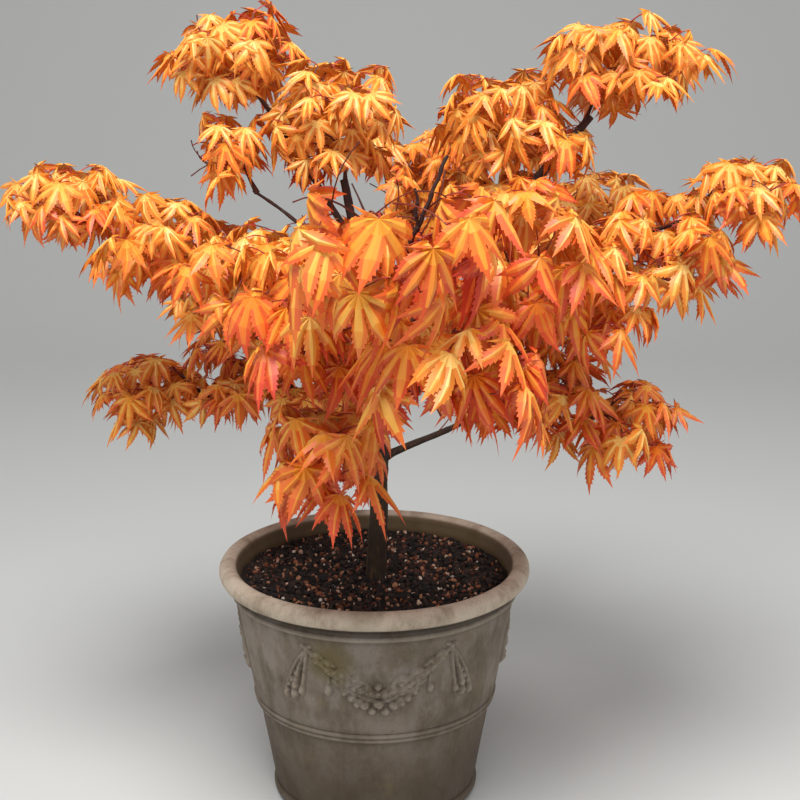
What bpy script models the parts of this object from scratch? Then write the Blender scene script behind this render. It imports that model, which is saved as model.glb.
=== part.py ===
"""A potted Japanese maple: a young spreading tree in orange autumn leaf, in a turned planter with garlands.

Metres, +Z up. The origin is the centre of the planter's flat underside, -Y is the front, where the longest
sprays hang towards the rim, and +X is to the right.

The planter, the soil, the trunk and each bough are solids of their own. So is each mass of foliage: it keeps
to its own space, an ellipsoid cut off where the next mass begins, and is filled by one branching rule that
joins twigs to one stem and hangs five-lobed leaves on them.
"""

import math
import random
from collections import namedtuple

import bpy
import numpy as np
from mathutils import Vector
from mathutils.bvhtree import BVHTree

GAP = 0.0003  # clearance between solids that touch on the real tree

# Planter: a turned body with a rolled rim, a thin ring under it, two beads at the waist and a foot bead.
RIM_RADIUS = 0.200
RIM_HEIGHT = 0.3055  # at the roll's middle
ROLL_RADIUS = 0.012
RING_RADIUS = 0.185
RING_HEIGHT = 0.2797
RING_BEAD = 0.004
BODY_TOP_RADIUS = 0.180
BODY_FOOT_RADIUS = 0.1335
FOOT_BEAD = 0.006
FOOT_SUNK = 0.004  # how far the foot bead's middle lies inside the body's foot
FOOT_HEIGHT = 0.022
WAIST_HEIGHT = 0.138
WAIST_BEAD = 0.0032
WAIST_STEP = 0.004  # the body above the waist stands this far out
WAIST_SUNK = 0.0016  # how far the beads' middles lie inside that upper body
WALL = 0.017
FLOOR = 0.024
TURNED_STEPS = 36

# Garlands in low relief: each hangs from two knots, widest at its lowest point, with a tassel at each knot.
GARLANDS = 3
GARLAND_TURN = math.radians(2.9)
GARLAND_HALF_SPAN = math.radians(29.5)
KNOT_HEIGHT = 0.2585
GARLAND_SAG = 0.0605
GARLAND_WIDTHS = (0.0045, 0.0180)  # half its width at the knots and at its lowest point
GARLAND_PROUD = (0.0040, 0.0090)
TASSEL_LENGTH = 0.074
TASSEL_SPREAD = 0.018  # how far its end lies out from its knot, away from the swag
TASSEL_SHARES = (0.0, 0.4, 0.85, 1.0)  # along it, where its half widths and heights are given
TASSEL_WIDTHS = (0.0040, 0.0075, 0.0130, 0.0090)
TASSEL_PROUD = (0.0040, 0.0060, 0.0075, 0.0050)
RELIEF_SECTION = ((-1.0, -0.6), (-0.7, 0.7), (0.0, 1.0), (0.7, 0.7), (1.0, -0.6))  # across and outward

# Soil, slightly domed towards a flat seat under the trunk.
SOIL_EDGE_HEIGHT = 0.292
SOIL_DOME = 0.005
TRUNK_SEAT_RADIUS = 0.024

# Trunk.
TRUNK_FOOT = Vector((0.003, -0.020, SOIL_EDGE_HEIGHT + SOIL_DOME + GAP))
TRUNK_TOP = Vector((0.009, -0.018, 0.590))
TRUNK_RADIUS = 0.0121
TRUNK_TOP_RADIUS = 0.0105
FLARE = 0.0020  # what the root flare adds to the radius at the foot
FLARE_HEIGHT = 0.016
TRUNK_RING_HEIGHTS = (0, 0.006, 0.016, 0.035, 0.07, 0.13, 0.2, TRUNK_TOP.z - TRUNK_FOOT.z)
TRUNK_SIDES = 14

# A mass of foliage and the bough that carries it: the middle and half-sizes of its space, the limb that the
# bough leaves and how far along that limb, the bough's radius at its root, how high it arches over the
# straight line, and how many twig ends the mass has.
Mass = namedtuple("Mass", "name middle half limb along thick arch tips")
MASSES = [
    Mass("crown_left", (-0.050, 0.050, 0.865), (0.115, 0.12, 0.095), "trunk", 0.97, 0.0088, 0.00, 7),
    Mass("crown_right", (0.310, 0.050, 0.925), (0.125, 0.12, 0.080), "trunk", 0.96, 0.0085, 0.00, 7),
    Mass("left_wing", (-0.255, 0.000, 0.710), (0.110, 0.13, 0.085), "trunk", 0.80, 0.0065, 0.03, 6),
    Mass("right_wing", (0.345, -0.050, 0.715), (0.100, 0.13, 0.095), "trunk", 0.84, 0.0065, 0.02, 6),
    Mass("front_high", (0.020, -0.370, 0.785), (0.130, 0.13, 0.110), "trunk", 0.90, 0.0070, 0.02, 8),
    Mass("back_middle", (0.065, 0.320, 0.760), (0.130, 0.12, 0.095), "trunk", 0.89, 0.0070, 0.02, 6),
    Mass("low_left", (-0.170, 0.150, 0.535), (0.110, 0.12, 0.070), "trunk", 0.58, 0.0055, 0.02, 5),
    Mass("low_right", (0.210, -0.060, 0.560), (0.105, 0.12, 0.070), "trunk", 0.54, 0.0050, 0.00, 5),
    Mass("front_low", (0.080, -0.330, 0.630), (0.120, 0.12, 0.090), "trunk", 0.71, 0.0058, 0.02, 6),
    Mass("back_left", (-0.190, 0.285, 0.620), (0.135, 0.13, 0.090), "trunk", 0.77, 0.0060, 0.02, 6),
    Mass("back_right", (0.275, 0.270, 0.710), (0.135, 0.13, 0.090), "trunk", 0.78, 0.0060, 0.02, 6),
    Mass("back_low", (0.130, 0.300, 0.560), (0.135, 0.12, 0.085), "trunk", 0.66, 0.0050, 0.02, 6),
    Mass("front_hanging", (-0.048, -0.235, 0.515), (0.070, 0.09, 0.110), "trunk", 0.63, 0.0045, 0.07, 5),
    Mass("crown_tip", (-0.165, 0.060, 0.940), (0.110, 0.12, 0.085), "crown_left", 0.62, 0.0045, 0.00, 6),
    Mass("crown_drop", (-0.195, 0.020, 0.815), (0.080, 0.12, 0.070), "crown_left", 0.45, 0.0032, 0.02, 4),
    Mass("crown_middle", (0.165, 0.080, 0.850), (0.125, 0.12, 0.095), "crown_right", 0.38, 0.0050, 0.00, 6),
    Mass("left_inner", (-0.145, -0.090, 0.690), (0.105, 0.12, 0.095), "left_wing", 0.45, 0.0042, 0.01, 5),
    Mass("left_wing_tip", (-0.365, 0.000, 0.760), (0.100, 0.12, 0.065), "left_wing", 0.60, 0.0036, 0.05, 5),
    Mass("right_inner", (0.245, -0.110, 0.680), (0.100, 0.12, 0.095), "right_wing", 0.45, 0.0042, 0.01, 5),
    Mass("right_wing_tip", (0.440, -0.050, 0.775), (0.080, 0.12, 0.065), "right_wing", 0.66, 0.0036, 0.05, 5),
    Mass("front_left", (-0.060, -0.235, 0.665), (0.095, 0.11, 0.100), "front_high", 0.42, 0.0042, 0.00, 6),
    Mass("front_right", (0.160, -0.220, 0.730), (0.090, 0.11, 0.100), "front_high", 0.38, 0.0042, 0.00, 5),
    Mass("low_left_tip", (-0.300, 0.150, 0.485), (0.110, 0.12, 0.070), "low_left", 0.75, 0.0030, 0.01, 5),
    Mass("low_right_tip", (0.305, -0.060, 0.495), (0.085, 0.11, 0.070), "low_right", 0.75, 0.0030, 0.01, 5),
]
SPACE_MARGIN = 0.0008  # each mass stops this far short of the plane it shares with a neighbour
LIMB_CLEARANCE = 0.0015  # twigs and leaves keep this far from every limb

# Boughs.
BOUGH_TAPER = 0.55  # a bough's radius at its tip against its root
BOUGH_STEPS = 5
BOUGH_SIDES = 6
BOUGH_ENDS_AT = 0.72  # how deep in the mass's ellipsoid the bough stops, from 1 at its surface to 0

# Twigs.
TWIG_SIDES = 3
STEM_RADIUS = 0.0030
STEM_COLLAR = 0.004  # a stem's first stretch runs straight on from its bough
TWIG_TIP_RADIUS = 0.0011
LEAST_ROOT_RADIUS = 0.00132  # of a twig where it leaves another
TWIG_TAPER = 0.72  # a side twig's radius against the twig that it leaves
TWIG_FORKS = (0.5, 1.0)  # the shares of a twig's length at which others may leave it
CROWDING = 0.02  # what each twig that already leaves a place adds to the cost of the next
TIP_INSET = 0.030  # twig ends keep this far inside the space, whose edge is left to the leaves
TIP_LIFT = 0.020  # and this much more above its underside, because leaves hang

# Leaves: half the real number and a quarter larger, each with three long lobes and two short ones.
LEAF_RADIUS = 0.074
LOBES = ((0, 1.00), (38, 0.88), (82, 0.60))
NOTCH = 0.30
PETIOLE_NOTCH = (128, 0.13)
ROOT_CORNER = 2
LEAF_HALF_THICK = 0.0010
LEAF_ARCH = 0.24  # how far the lobe tips bend down, against the leaf's radius
PETIOLE = 0.026
LEAF_OVERHANG = 0.028  # how far a leaf may reach past the ellipsoid
LEAF_SWING = 22  # degrees either way of its place in the spray, more with each try
LEAF_DROOP = (18, 65)
LEAF_TRIES = 14
MOST_LEAVES = 1.85  # for each twig of a mass
SPRAY = (0, 75, -75, 140)  # turns from the twig's own heading


def clear_scene():
    for obj in list(bpy.data.objects):
        bpy.data.objects.remove(obj, do_unlink=True)


def finish(name, colour, roughness):
    """A plain Principled material."""
    made = bpy.data.materials.new(name)
    made.use_nodes = True
    shader = made.node_tree.nodes["Principled BSDF"]
    shader.inputs["Base Color"].default_value = (*colour, 1)
    shader.inputs["Roughness"].default_value = roughness
    shader.inputs["Metallic"].default_value = 0
    return made


def add_object(name, points, faces, material=None, edges=()):
    """An object made of these points and faces, closed and facing outwards, or of the edges of a profile."""
    mesh = bpy.data.meshes.new(name)
    mesh.from_pydata([tuple(p) for p in points], edges, faces)
    if material:
        mesh.materials.append(material)
    obj = bpy.data.objects.new(name, mesh)
    bpy.context.scene.collection.objects.link(obj)
    return obj


def settle(obj):
    """Applies the object's modifiers, so that the helpers they use can go."""
    bpy.context.view_layer.update()
    graph = bpy.context.evaluated_depsgraph_get()
    mesh = bpy.data.meshes.new_from_object(obj.evaluated_get(graph))
    obj.modifiers.clear()
    obj.data = mesh


def fuse(obj, helpers):
    """One Boolean union of the object with all of the helpers, which are then removed."""
    group = bpy.data.collections.new(obj.name + "_helpers")
    bpy.context.scene.collection.children.link(group)
    for helper in helpers:
        group.objects.link(helper)
    union = obj.modifiers.new("fuse", "BOOLEAN")
    union.operation = "UNION"
    union.operand_type = "COLLECTION"
    union.collection = group
    union.solver = "MANIFOLD"  # the exact solver leaves one mass in two bodies
    settle(obj)
    for helper in helpers:
        bpy.data.objects.remove(helper, do_unlink=True)
    bpy.data.collections.remove(group)


def carve(obj, cutter):
    """Cuts the cutter's shape out of the object, then removes the cutter."""
    cut = obj.modifiers.new("carve", "BOOLEAN")
    cut.operation = "DIFFERENCE"
    cut.object = cutter
    settle(obj)
    bpy.data.objects.remove(cutter, do_unlink=True)


def arc(middle, radius, start, end, steps):
    """Points of a profile along an arc, with its angles in degrees from +X towards +Z."""
    angles = np.radians(np.linspace(start, end, steps))
    return [(middle[0] + radius * math.cos(a), middle[1] + radius * math.sin(a)) for a in angles]


def body_radius(height):
    """The planter body's outer radius at a height, a straight taper with a small step at the waist."""
    share = (height - FOOT_HEIGHT) / (RING_HEIGHT - FOOT_HEIGHT)
    step = WAIST_STEP if height > WAIST_HEIGHT else 0
    return BODY_FOOT_RADIUS + share * (BODY_TOP_RADIUS - BODY_FOOT_RADIUS - WAIST_STEP) + step


def inner_radius(height):
    """The radius of the planter's inside at a height."""
    share = (height - FLOOR) / (RIM_HEIGHT - FLOOR)
    foot = BODY_FOOT_RADIUS - WALL
    return foot + share * (RIM_RADIUS - 2 * ROLL_RADIUS - foot)


def turn(name, profile, material):
    """A solid turned about Z from a profile that starts and ends on the axis and runs down the outside."""
    edges = [(i, i + 1) for i in range(len(profile) - 1)]
    obj = add_object(name, [(r, 0, z) for r, z in profile], [], material, edges)
    screw = obj.modifiers.new("turn", "SCREW")
    screw.steps = TURNED_STEPS
    screw.render_steps = TURNED_STEPS
    screw.use_merge_vertices = True
    screw.merge_threshold = 0.0001
    settle(obj)
    return obj


def planter_profile():
    """Half of the planter's section, from its floor's middle inside, over the rim and down the outside."""
    roll_middle = (RIM_RADIUS - ROLL_RADIUS, RIM_HEIGHT)
    ring_middle = (RING_RADIUS - RING_BEAD, RING_HEIGHT)
    ring_foot = RING_HEIGHT - 2.4 * RING_BEAD
    foot_middle = (BODY_FOOT_RADIUS - FOOT_SUNK, FOOT_BEAD + FOOT_SUNK)
    waist = body_radius(WAIST_HEIGHT + WAIST_BEAD) - WAIST_SUNK
    waist_high = (waist, WAIST_HEIGHT + WAIST_BEAD)
    waist_low = (waist - WAIST_SUNK, WAIST_HEIGHT - WAIST_BEAD)
    return [
        (0, FLOOR),
        (inner_radius(FLOOR), FLOOR),
        *arc(roll_middle, ROLL_RADIUS, 180, -75, 10),
        *arc(ring_middle, RING_BEAD, 60, -60, 3),
        (body_radius(ring_foot), ring_foot),
        *arc(waist_high, WAIST_BEAD, 60, -30, 3),
        *arc(waist_low, WAIST_BEAD, 30, -60, 3),
        (body_radius(FOOT_HEIGHT), FOOT_HEIGHT),
        *arc(foot_middle, FOOT_BEAD, 60, -60, 3),
        (BODY_FOOT_RADIUS - FOOT_SUNK, 0),
        (0, 0),
    ]


def soil_profile():
    """Half of the soil's section, from the seat under the trunk down to the planter's floor."""
    top = SOIL_EDGE_HEIGHT + SOIL_DOME
    edge = inner_radius(SOIL_EDGE_HEIGHT) - GAP
    return [
        (0, top),
        (TRUNK_SEAT_RADIUS + abs(TRUNK_FOOT.y), top),
        (edge * 0.6, SOIL_EDGE_HEIGHT + SOIL_DOME * 0.6),
        (edge, SOIL_EDGE_HEIGHT),
        (inner_radius(FLOOR) - GAP, FLOOR + GAP),
        (0, FLOOR + GAP),
    ]


def rings_along(path, radii, sides):
    """Rings of points round a path, each square to it, with the least twist from one to the next."""
    headings = np.gradient(path, axis=0)
    headings /= np.linalg.norm(headings, axis=1, keepdims=True)
    across = np.cross(headings[0], (0.0, 0.0, 1.0) if abs(headings[0][2]) < 0.9 else (1.0, 0.0, 0.0))
    angles = np.linspace(0, 2 * math.pi, sides, endpoint=False)
    rings = []
    for point, heading, radius in zip(path, headings, radii):
        across = across - heading * np.dot(across, heading)
        across /= np.linalg.norm(across)
        upward = np.cross(heading, across)
        rings.append(point + radius * (np.outer(np.cos(angles), across) + np.outer(np.sin(angles), upward)))
    return np.concatenate(rings)


def tube_faces(count, sides):
    """The faces of a tube of so many rings, with flat ends."""
    faces = [tuple(range(sides))[::-1], tuple(range((count - 1) * sides, count * sides))]
    for ring in range(count - 1):
        for side in range(sides):
            a = ring * sides + side
            b = ring * sides + (side + 1) % sides
            faces.append((a, b, b + sides, a + sides))
    return faces


def tube(name, path, radii, sides, material=None):
    """A closed tapering tube."""
    verts = rings_along(np.array(path, float), radii, sides)
    return add_object(name, verts, tube_faces(len(path), sides), material)


def on_body(angle, height, proud=0.0):
    """A point on the planter's body, at an angle from the front, standing proud of it."""
    radius = body_radius(height) + proud
    return (radius * math.sin(angle), -radius * math.cos(angle), height)


def relief(name, path, widths, prouds):
    """A closed strip laid along a path of angles and heights on the body, rounded outward."""
    flat = np.array([(angle * body_radius(height), height) for angle, height in path])
    headings = np.gradient(flat, axis=0)
    headings /= np.linalg.norm(headings, axis=1, keepdims=True)
    verts = []
    for (along, height), heading, width, proud in zip(flat, headings, widths, prouds):
        for across, outward in RELIEF_SECTION:
            turned = (along + heading[1] * across * width) / body_radius(height)
            verts.append(on_body(turned, height - heading[0] * across * width, outward * proud))
    return add_object(name, verts, tube_faces(len(path), len(RELIEF_SECTION)), None)


def garland(turned):
    """The solids of one garland: its swag and a tassel at each knot."""
    shares = np.linspace(-1, 1, 11)
    path = [
        (turned + s * GARLAND_HALF_SPAN, KNOT_HEIGHT - GARLAND_SAG * (1 - abs(s) ** 1.6)) for s in shares
    ]
    fullness = (1 - np.abs(shares)) ** 1.5
    widths = np.interp(fullness, (0, 1), GARLAND_WIDTHS)
    pieces = [relief("swag", path, widths, np.interp(fullness, (0, 1), GARLAND_PROUD))]
    for knot in (-1, 1):
        angle = turned + knot * GARLAND_HALF_SPAN
        spread = knot * TASSEL_SPREAD / body_radius(KNOT_HEIGHT)
        drop = [(angle + spread * s, KNOT_HEIGHT + 0.004 - TASSEL_LENGTH * s) for s in TASSEL_SHARES]
        pieces.append(relief("tassel", drop, TASSEL_WIDTHS, TASSEL_PROUD))
    return pieces


def make_planter(material):
    planter = turn("planter", planter_profile(), material)
    pieces = []
    for number in range(GARLANDS):
        pieces += garland(GARLAND_TURN + number * 2 * math.pi / GARLANDS)
    fuse(planter, pieces)
    planter.data.shade_smooth()
    planter.data.set_sharp_from_angle(angle=math.radians(40))
    return planter


def curve_between(start, bend, end, steps):
    """Points of a quadratic curve that sets out from start towards bend and arrives at end."""
    shares = np.linspace(0, 1, steps + 1)[:, None]
    start, bend, end = (np.array(p, float) for p in (start, bend, end))
    return (1 - shares) ** 2 * start + 2 * shares * (1 - shares) * bend + shares**2 * end


def ellipsoid_depth(mass, point):
    """0 at the middle of the mass's ellipsoid and 1 at its surface."""
    return float(np.linalg.norm((np.array(point) - mass.middle) / mass.half))


def inside_by(mass, points):
    """How far inside the mass's ellipsoid each point lies, in metres, negative outside."""
    half = np.array(mass.half)
    depth = np.linalg.norm((np.atleast_2d(points) - mass.middle) / half, axis=1)
    return (1 - depth) * half.min()


def short_of_neighbours(mass, points):
    """How far each point lies from the nearest plane that parts this mass from another, negative past it.

    A plane passes where the squared distances to the two masses' middles, less the squares of their mean
    half-sizes, are equal.
    """
    points = np.atleast_2d(points)
    own = ((points - mass.middle) ** 2).sum(axis=1) - np.mean(mass.half) ** 2
    rooms = []
    for other in MASSES:
        if other is not mass:
            theirs = ((points - other.middle) ** 2).sum(axis=1) - np.mean(other.half) ** 2
            apart = np.linalg.norm(np.subtract(mass.middle, other.middle))
            rooms.append((theirs - own) / (2 * apart))
    return np.min(rooms, axis=0)


class Limb:
    """A tapering limb: its centre line and its radius at each point of it."""

    def __init__(self, name, path, radii, sides):
        self.name, self.path, self.radii, self.sides = name, np.array(path), np.array(radii), sides

    def at(self, share):
        """The point and radius at a share of the length."""
        steps = np.linalg.norm(np.diff(self.path, axis=0), axis=1)
        along = np.concatenate([[0], np.cumsum(steps)]) / steps.sum()
        point = [np.interp(share, along, self.path[:, axis]) for axis in range(3)]
        return np.array(point), float(np.interp(share, along, self.radii))

    def solid(self, name, swell=0.0, material=None):
        """The limb's solid, larger all round by swell, its flat ends included."""
        path = self.path.copy()
        for end, inner in ((0, 1), (-1, -2)):
            outward = path[end] - path[inner]
            path[end] += outward / np.linalg.norm(outward) * swell
        return tube(name, path, self.radii + swell, self.sides, material)


def trunk_limb():
    """The trunk: upright at its flat foot, then a straight lean, with a flare that fades with height."""
    heights = np.array(TRUNK_RING_HEIGHTS)
    shares = heights / heights[-1]
    path = [TRUNK_FOOT, TRUNK_FOOT + Vector((0, 0, heights[1]))]
    path += [TRUNK_FOOT.lerp(TRUNK_TOP, s) for s in shares[2:]]
    radii = [
        TRUNK_RADIUS + (TRUNK_TOP_RADIUS - TRUNK_RADIUS) * s + FLARE * math.exp(-h / FLARE_HEIGHT)
        for s, h in zip(shares, heights)
    ]
    return Limb("trunk", path, radii, TRUNK_SIDES)


def bough_limb(mass, parent):
    """A bough that leaves its parent limb, arches and stops inside its mass."""
    start, room = parent.at(mass.along)
    middle = np.array(mass.middle)
    bend = start + (middle - start) * 0.5 + np.array((0, 0, mass.arch))
    whole = curve_between(start, bend, middle, 60)
    inside = [ellipsoid_depth(mass, p) < BOUGH_ENDS_AT for p in whole]
    stop = inside.index(True)
    picks = np.linspace(0, stop, BOUGH_STEPS + 1).round().astype(int)
    thick = min(mass.thick, room * 0.85)
    radii = np.linspace(thick, thick * BOUGH_TAPER, BOUGH_STEPS + 1)
    return Limb("bough_" + mass.name, whole[picks], radii, BOUGH_SIDES)


def make_limbs(material):
    """The trunk and boughs. Each bough is cut back from the limbs that came before it."""
    limbs = {"trunk": trunk_limb()}
    trunk = limbs["trunk"].solid("trunk", material=material)
    trunk.data.shade_smooth()
    trunk.data.set_sharp_from_angle(angle=math.radians(50))
    for mass in MASSES:
        limb = bough_limb(mass, limbs[mass.limb])
        obj = limb.solid(limb.name, material=material)
        for earlier in limbs.values():
            nearest = min(np.linalg.norm(limb.path - p, axis=1).min() for p in dense(earlier.path))
            if nearest < limb.radii[0] + earlier.radii[0] + GAP:
                carve(obj, earlier.solid("cutter", swell=GAP))
        obj.data.shade_smooth()
        obj.data.set_sharp_from_angle(angle=math.radians(50))
        limbs[mass.name] = limb
    return limbs


def dense(path, count=40):
    """The path again with evenly many points in each step."""
    path = np.array(path)
    shares = np.linspace(0, len(path) - 1, count)
    return np.stack([np.interp(shares, range(len(path)), path[:, axis]) for axis in range(3)], axis=1)


def spread_points(mass, start):
    """Twig ends spread evenly through the space: each next one is the furthest from all before it."""
    rng = np.random.default_rng(sum(map(ord, mass.name)))
    trial = rng.uniform(-1, 1, (900, 3)) * mass.half + mass.middle
    low = trial - (0, 0, TIP_LIFT)
    trial = trial[(inside_by(mass, low) > TIP_INSET) & (short_of_neighbours(mass, trial) > TIP_INSET / 2)]
    chosen = [start]
    for _ in range(mass.tips):
        nearest = np.min([np.linalg.norm(trial - c, axis=1) for c in chosen], axis=0)
        chosen.append(trial[int(nearest.argmax())])
    return chosen[1:]


Twig = namedtuple("Twig", "path radii")


class Fork:
    """A place where twigs may leave: its point, heading and radius, its way from the stem's foot and twigs."""

    def __init__(self, point, heading, radius, length):
        self.point, self.heading, self.radius, self.length = point, heading, radius, length
        self.twigs = 0


def heading_of(path):
    way = path[-1] - path[-2]
    return way / np.linalg.norm(way)


def twig_cost(fork, end):
    """What it costs to reach the end from a fork: the way, the way before it, a sharp turn and crowding."""
    way = end - fork.point
    reach = np.linalg.norm(way)
    turn = 1 - np.dot(way, fork.heading) / reach
    return reach + 0.25 * fork.length + 0.06 * turn + CROWDING * fork.twigs


def stem_to(start, heading, end):
    """A stem that runs straight on from its bough for a little way, then turns towards its end."""
    path = np.array([start, start + heading * STEM_COLLAR, end])
    return Twig(path, np.linspace(STEM_RADIUS, LEAST_ROOT_RADIUS, 3))


def grow_twigs(start, heading, ends, own_bough, barriers):
    """A stem to the nearest end that it can reach, then a twig to each other one from its cheapest fork."""
    ends = sorted(ends, key=lambda p: np.linalg.norm(p - start))
    stem, *_ = [
        twig
        for twig in (stem_to(start, heading, end) for end in ends)
        if not touches(tree_of(twig_solid(twig)), barriers)
    ]
    twigs = [stem]
    forks = forks_of(stem, 0.0)
    for end in ends:
        if (end == stem.path[-1]).all():
            continue
        fork = min(forks, key=lambda f: twig_cost(f, end))
        first = max(fork.radius * TWIG_TAPER, LEAST_ROOT_RADIUS)
        twig = Twig(np.array([fork.point, end]), np.array([first, TWIG_TIP_RADIUS]))
        if not touches(tree_of(twig_solid(twig)), [own_bough, *barriers]):
            fork.twigs += 1
            twigs.append(twig)
            forks += forks_of(twig, fork.length)
    return twigs


def forks_of(twig, length):
    """The forks on a twig's last leg."""
    base, end = twig.path[-2:]
    return [
        Fork(
            base + share * (end - base),
            heading_of(twig.path),
            twig.radii[-2] + share * (twig.radii[-1] - twig.radii[-2]),
            length + share * np.linalg.norm(end - base),
        )
        for share in TWIG_FORKS
    ]


def twig_solid(twig, material=None):
    return tube("twig", twig.path, twig.radii, TWIG_SIDES, material)


def tree_of(obj):
    """The search tree of an object's faces, after which the object is removed."""
    mesh = obj.data
    made = BVHTree.FromPolygons([v.co[:] for v in mesh.vertices], [p.vertices[:] for p in mesh.polygons])
    bpy.data.objects.remove(obj, do_unlink=True)
    return made


def touches(tree, others):
    return any(tree.overlap(other) for other in others)


def leaf_outline():
    """(angle, share of the leaf's radius) round the blade from the left basal lobe to the right one."""
    points = []
    for (low, short), (high, long) in zip(LOBES[::-1], LOBES[-2::-1]):
        points += [(low, short), ((low + high) / 2, NOTCH)]
    points = [PETIOLE_NOTCH, *points, LOBES[0]]
    return points + [(-angle, share) for angle, share in points[-2::-1]]


OUTLINE = leaf_outline()


def leaf_shape(root, outward, droop):
    """Points and faces of one leaf: a thin five-lobed star whose lobes bend down, tapering to its root."""
    up = np.array((0.0, 0.0, 1.0))
    apex = root + PETIOLE * (outward * math.cos(droop * 0.4) - up * math.sin(droop * 0.4))
    blade = outward * math.cos(droop) - up * math.sin(droop)
    normal = outward * math.sin(droop) + up * math.cos(droop)
    across = np.cross(normal, blade)
    points = [apex + normal * LEAF_HALF_THICK, apex - normal * LEAF_HALF_THICK, root]
    for angle, share in OUTLINE:
        turned = math.radians(angle)
        flat = LEAF_RADIUS * share * (blade * math.cos(turned) + across * math.sin(turned))
        points.append(apex + flat - normal * LEAF_RADIUS * LEAF_ARCH * share**2)
    rim = list(range(2, len(points)))
    faces = []
    for here, there in zip(rim, rim[1:] + rim[:1]):
        faces += [(0, there, here), (1, here, there)]
    return np.array(points), faces


def leaf_places(twigs):
    """(point, twig, turn) of every leaf that might grow: in rounds, a spray at each twig's end, then pairs."""
    for turned in SPRAY:
        back = 0.0015 if turned == 0 else 0.014 + (0.005 if turned < 0 else 0)
        for twig in twigs:
            yield twig.path[-1] - heading_of(twig.path) * back, twig, turned
    for turned in (70, -70):
        for twig in twigs:
            yield twig.path[-2:].mean(axis=0), twig, turned


def hang_leaves(mass, twigs, barriers):
    """Leaves that keep inside the space and clear of the limbs and of each other."""
    rng = random.Random(mass.name)
    twig_trees = [tree_of(twig_solid(twig)) for twig in twigs]
    leaves = []
    trees = []
    for point, twig, turned in leaf_places(twigs):
        if len(leaves) > MOST_LEAVES * len(twigs):
            break
        course = heading_of(twig.path)
        away = np.array(point) - mass.middle + np.array(point) * (0.6, 0.6, 0) + course * 0.06
        base = math.atan2(away[1], away[0])
        for attempt in range(LEAF_TRIES):
            swing = LEAF_SWING * (1 + attempt / 3)
            azimuth = base + math.radians(turned + rng.uniform(-swing, swing))
            droop = math.radians(rng.uniform(*LEAF_DROOP))
            outward = np.array((math.cos(azimuth), math.sin(azimuth), 0.0))
            points, faces = leaf_shape(point, outward, droop)
            if inside_by(mass, points).min() < -LEAF_OVERHANG:
                continue
            if short_of_neighbours(mass, points).min() < SPACE_MARGIN:
                continue
            corners = [tuple(p) for p in points]
            blade = BVHTree.FromPolygons(corners, [f for f in faces if ROOT_CORNER not in f])
            whole = BVHTree.FromPolygons(corners, faces)
            if touches(blade, twig_trees) or touches(whole, barriers + trees):
                continue
            leaves.append((points, faces))
            trees.append(whole)
            break
    return leaves


def make_mass(mass, limbs, material):
    """One mass of foliage as one closed solid."""
    limb = limbs[mass.name]
    heading = heading_of(limb.path)
    start = limb.path[-1] + heading * GAP
    barriers = {name: tree_of(other.solid("barrier", swell=LIMB_CLEARANCE)) for name, other in limbs.items()}
    own_bough = barriers.pop(mass.name)
    twigs = grow_twigs(start, heading, spread_points(mass, start), own_bough, list(barriers.values()))
    leaves = hang_leaves(mass, twigs, [own_bough, *barriers.values()])
    stem, *others = [twig_solid(twig, material) for twig in twigs]
    stem.name = "foliage_" + mass.name
    fuse(stem, others + [add_object("leaf", points, faces) for points, faces in leaves])
    print(stem.name, len(twigs), "twigs,", len(leaves), "leaves")
    return len(leaves)


def main():
    clear_scene()
    make_planter(finish("weathered_stoneware", (0.30, 0.26, 0.22), 0.85))
    turn("soil", soil_profile(), finish("bark_compost", (0.045, 0.028, 0.020), 0.95))
    bark = finish("dark_bark", (0.07, 0.040, 0.030), 0.8)
    leaf = finish("orange_leaf", (0.80, 0.20, 0.03), 0.5)
    limbs = make_limbs(bark)
    count = sum(make_mass(mass, limbs, leaf) for mass in MASSES)
    print("leaves in all:", count)


main()
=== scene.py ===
# %% [markdown]
# # A potted Japanese maple in autumn
#
# The real object is a young maple with one short trunk, a low wide crown of hand-shaped leaves that hang in
# layers, and a round garden planter with a rolled rim and a garland in relief. The solids already say where
# everything is. This lesson makes the surfaces that are seen: each is a formula worked out on a whole grid of
# points at once with numpy, and then handed to Blender as a mesh.
#
# First the fixed frame is loaded, and each part's own placing is applied to its points. The finished plant
# has to stay inside it.

import math
import random
from collections import namedtuple

import bpy
import bmesh
import numpy as np
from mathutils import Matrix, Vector
from numpy.linalg import norm


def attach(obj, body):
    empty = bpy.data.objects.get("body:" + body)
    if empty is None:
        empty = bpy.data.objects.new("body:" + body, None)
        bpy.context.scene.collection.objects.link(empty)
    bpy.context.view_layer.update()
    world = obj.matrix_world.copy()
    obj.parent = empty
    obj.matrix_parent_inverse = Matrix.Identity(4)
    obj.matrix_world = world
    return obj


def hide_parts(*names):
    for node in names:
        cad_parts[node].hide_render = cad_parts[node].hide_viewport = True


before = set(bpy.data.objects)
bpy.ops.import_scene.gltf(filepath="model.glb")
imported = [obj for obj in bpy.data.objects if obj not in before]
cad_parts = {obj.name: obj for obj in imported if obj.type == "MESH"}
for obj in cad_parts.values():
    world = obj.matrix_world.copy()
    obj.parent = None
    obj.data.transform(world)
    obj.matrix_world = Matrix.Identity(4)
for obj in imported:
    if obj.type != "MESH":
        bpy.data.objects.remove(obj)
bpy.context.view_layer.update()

# %% [markdown]
# ## The camera
#
# The viewer stands a little to the right of the planter, about 1.8 m off, with the eye level with the top of
# the tree and looking down on the soil. A longer lens keeps the planter's sides from leaning.

# %% Set the camera
EYE = (0.033, -1.829, 0.996)
PITCH = math.radians(14.4)  # below the level


def add_object(name, data):
    """A new object at the origin that is linked into the scene."""
    made = bpy.data.objects.new(name, data)
    bpy.context.scene.collection.objects.link(made)
    return made


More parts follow.
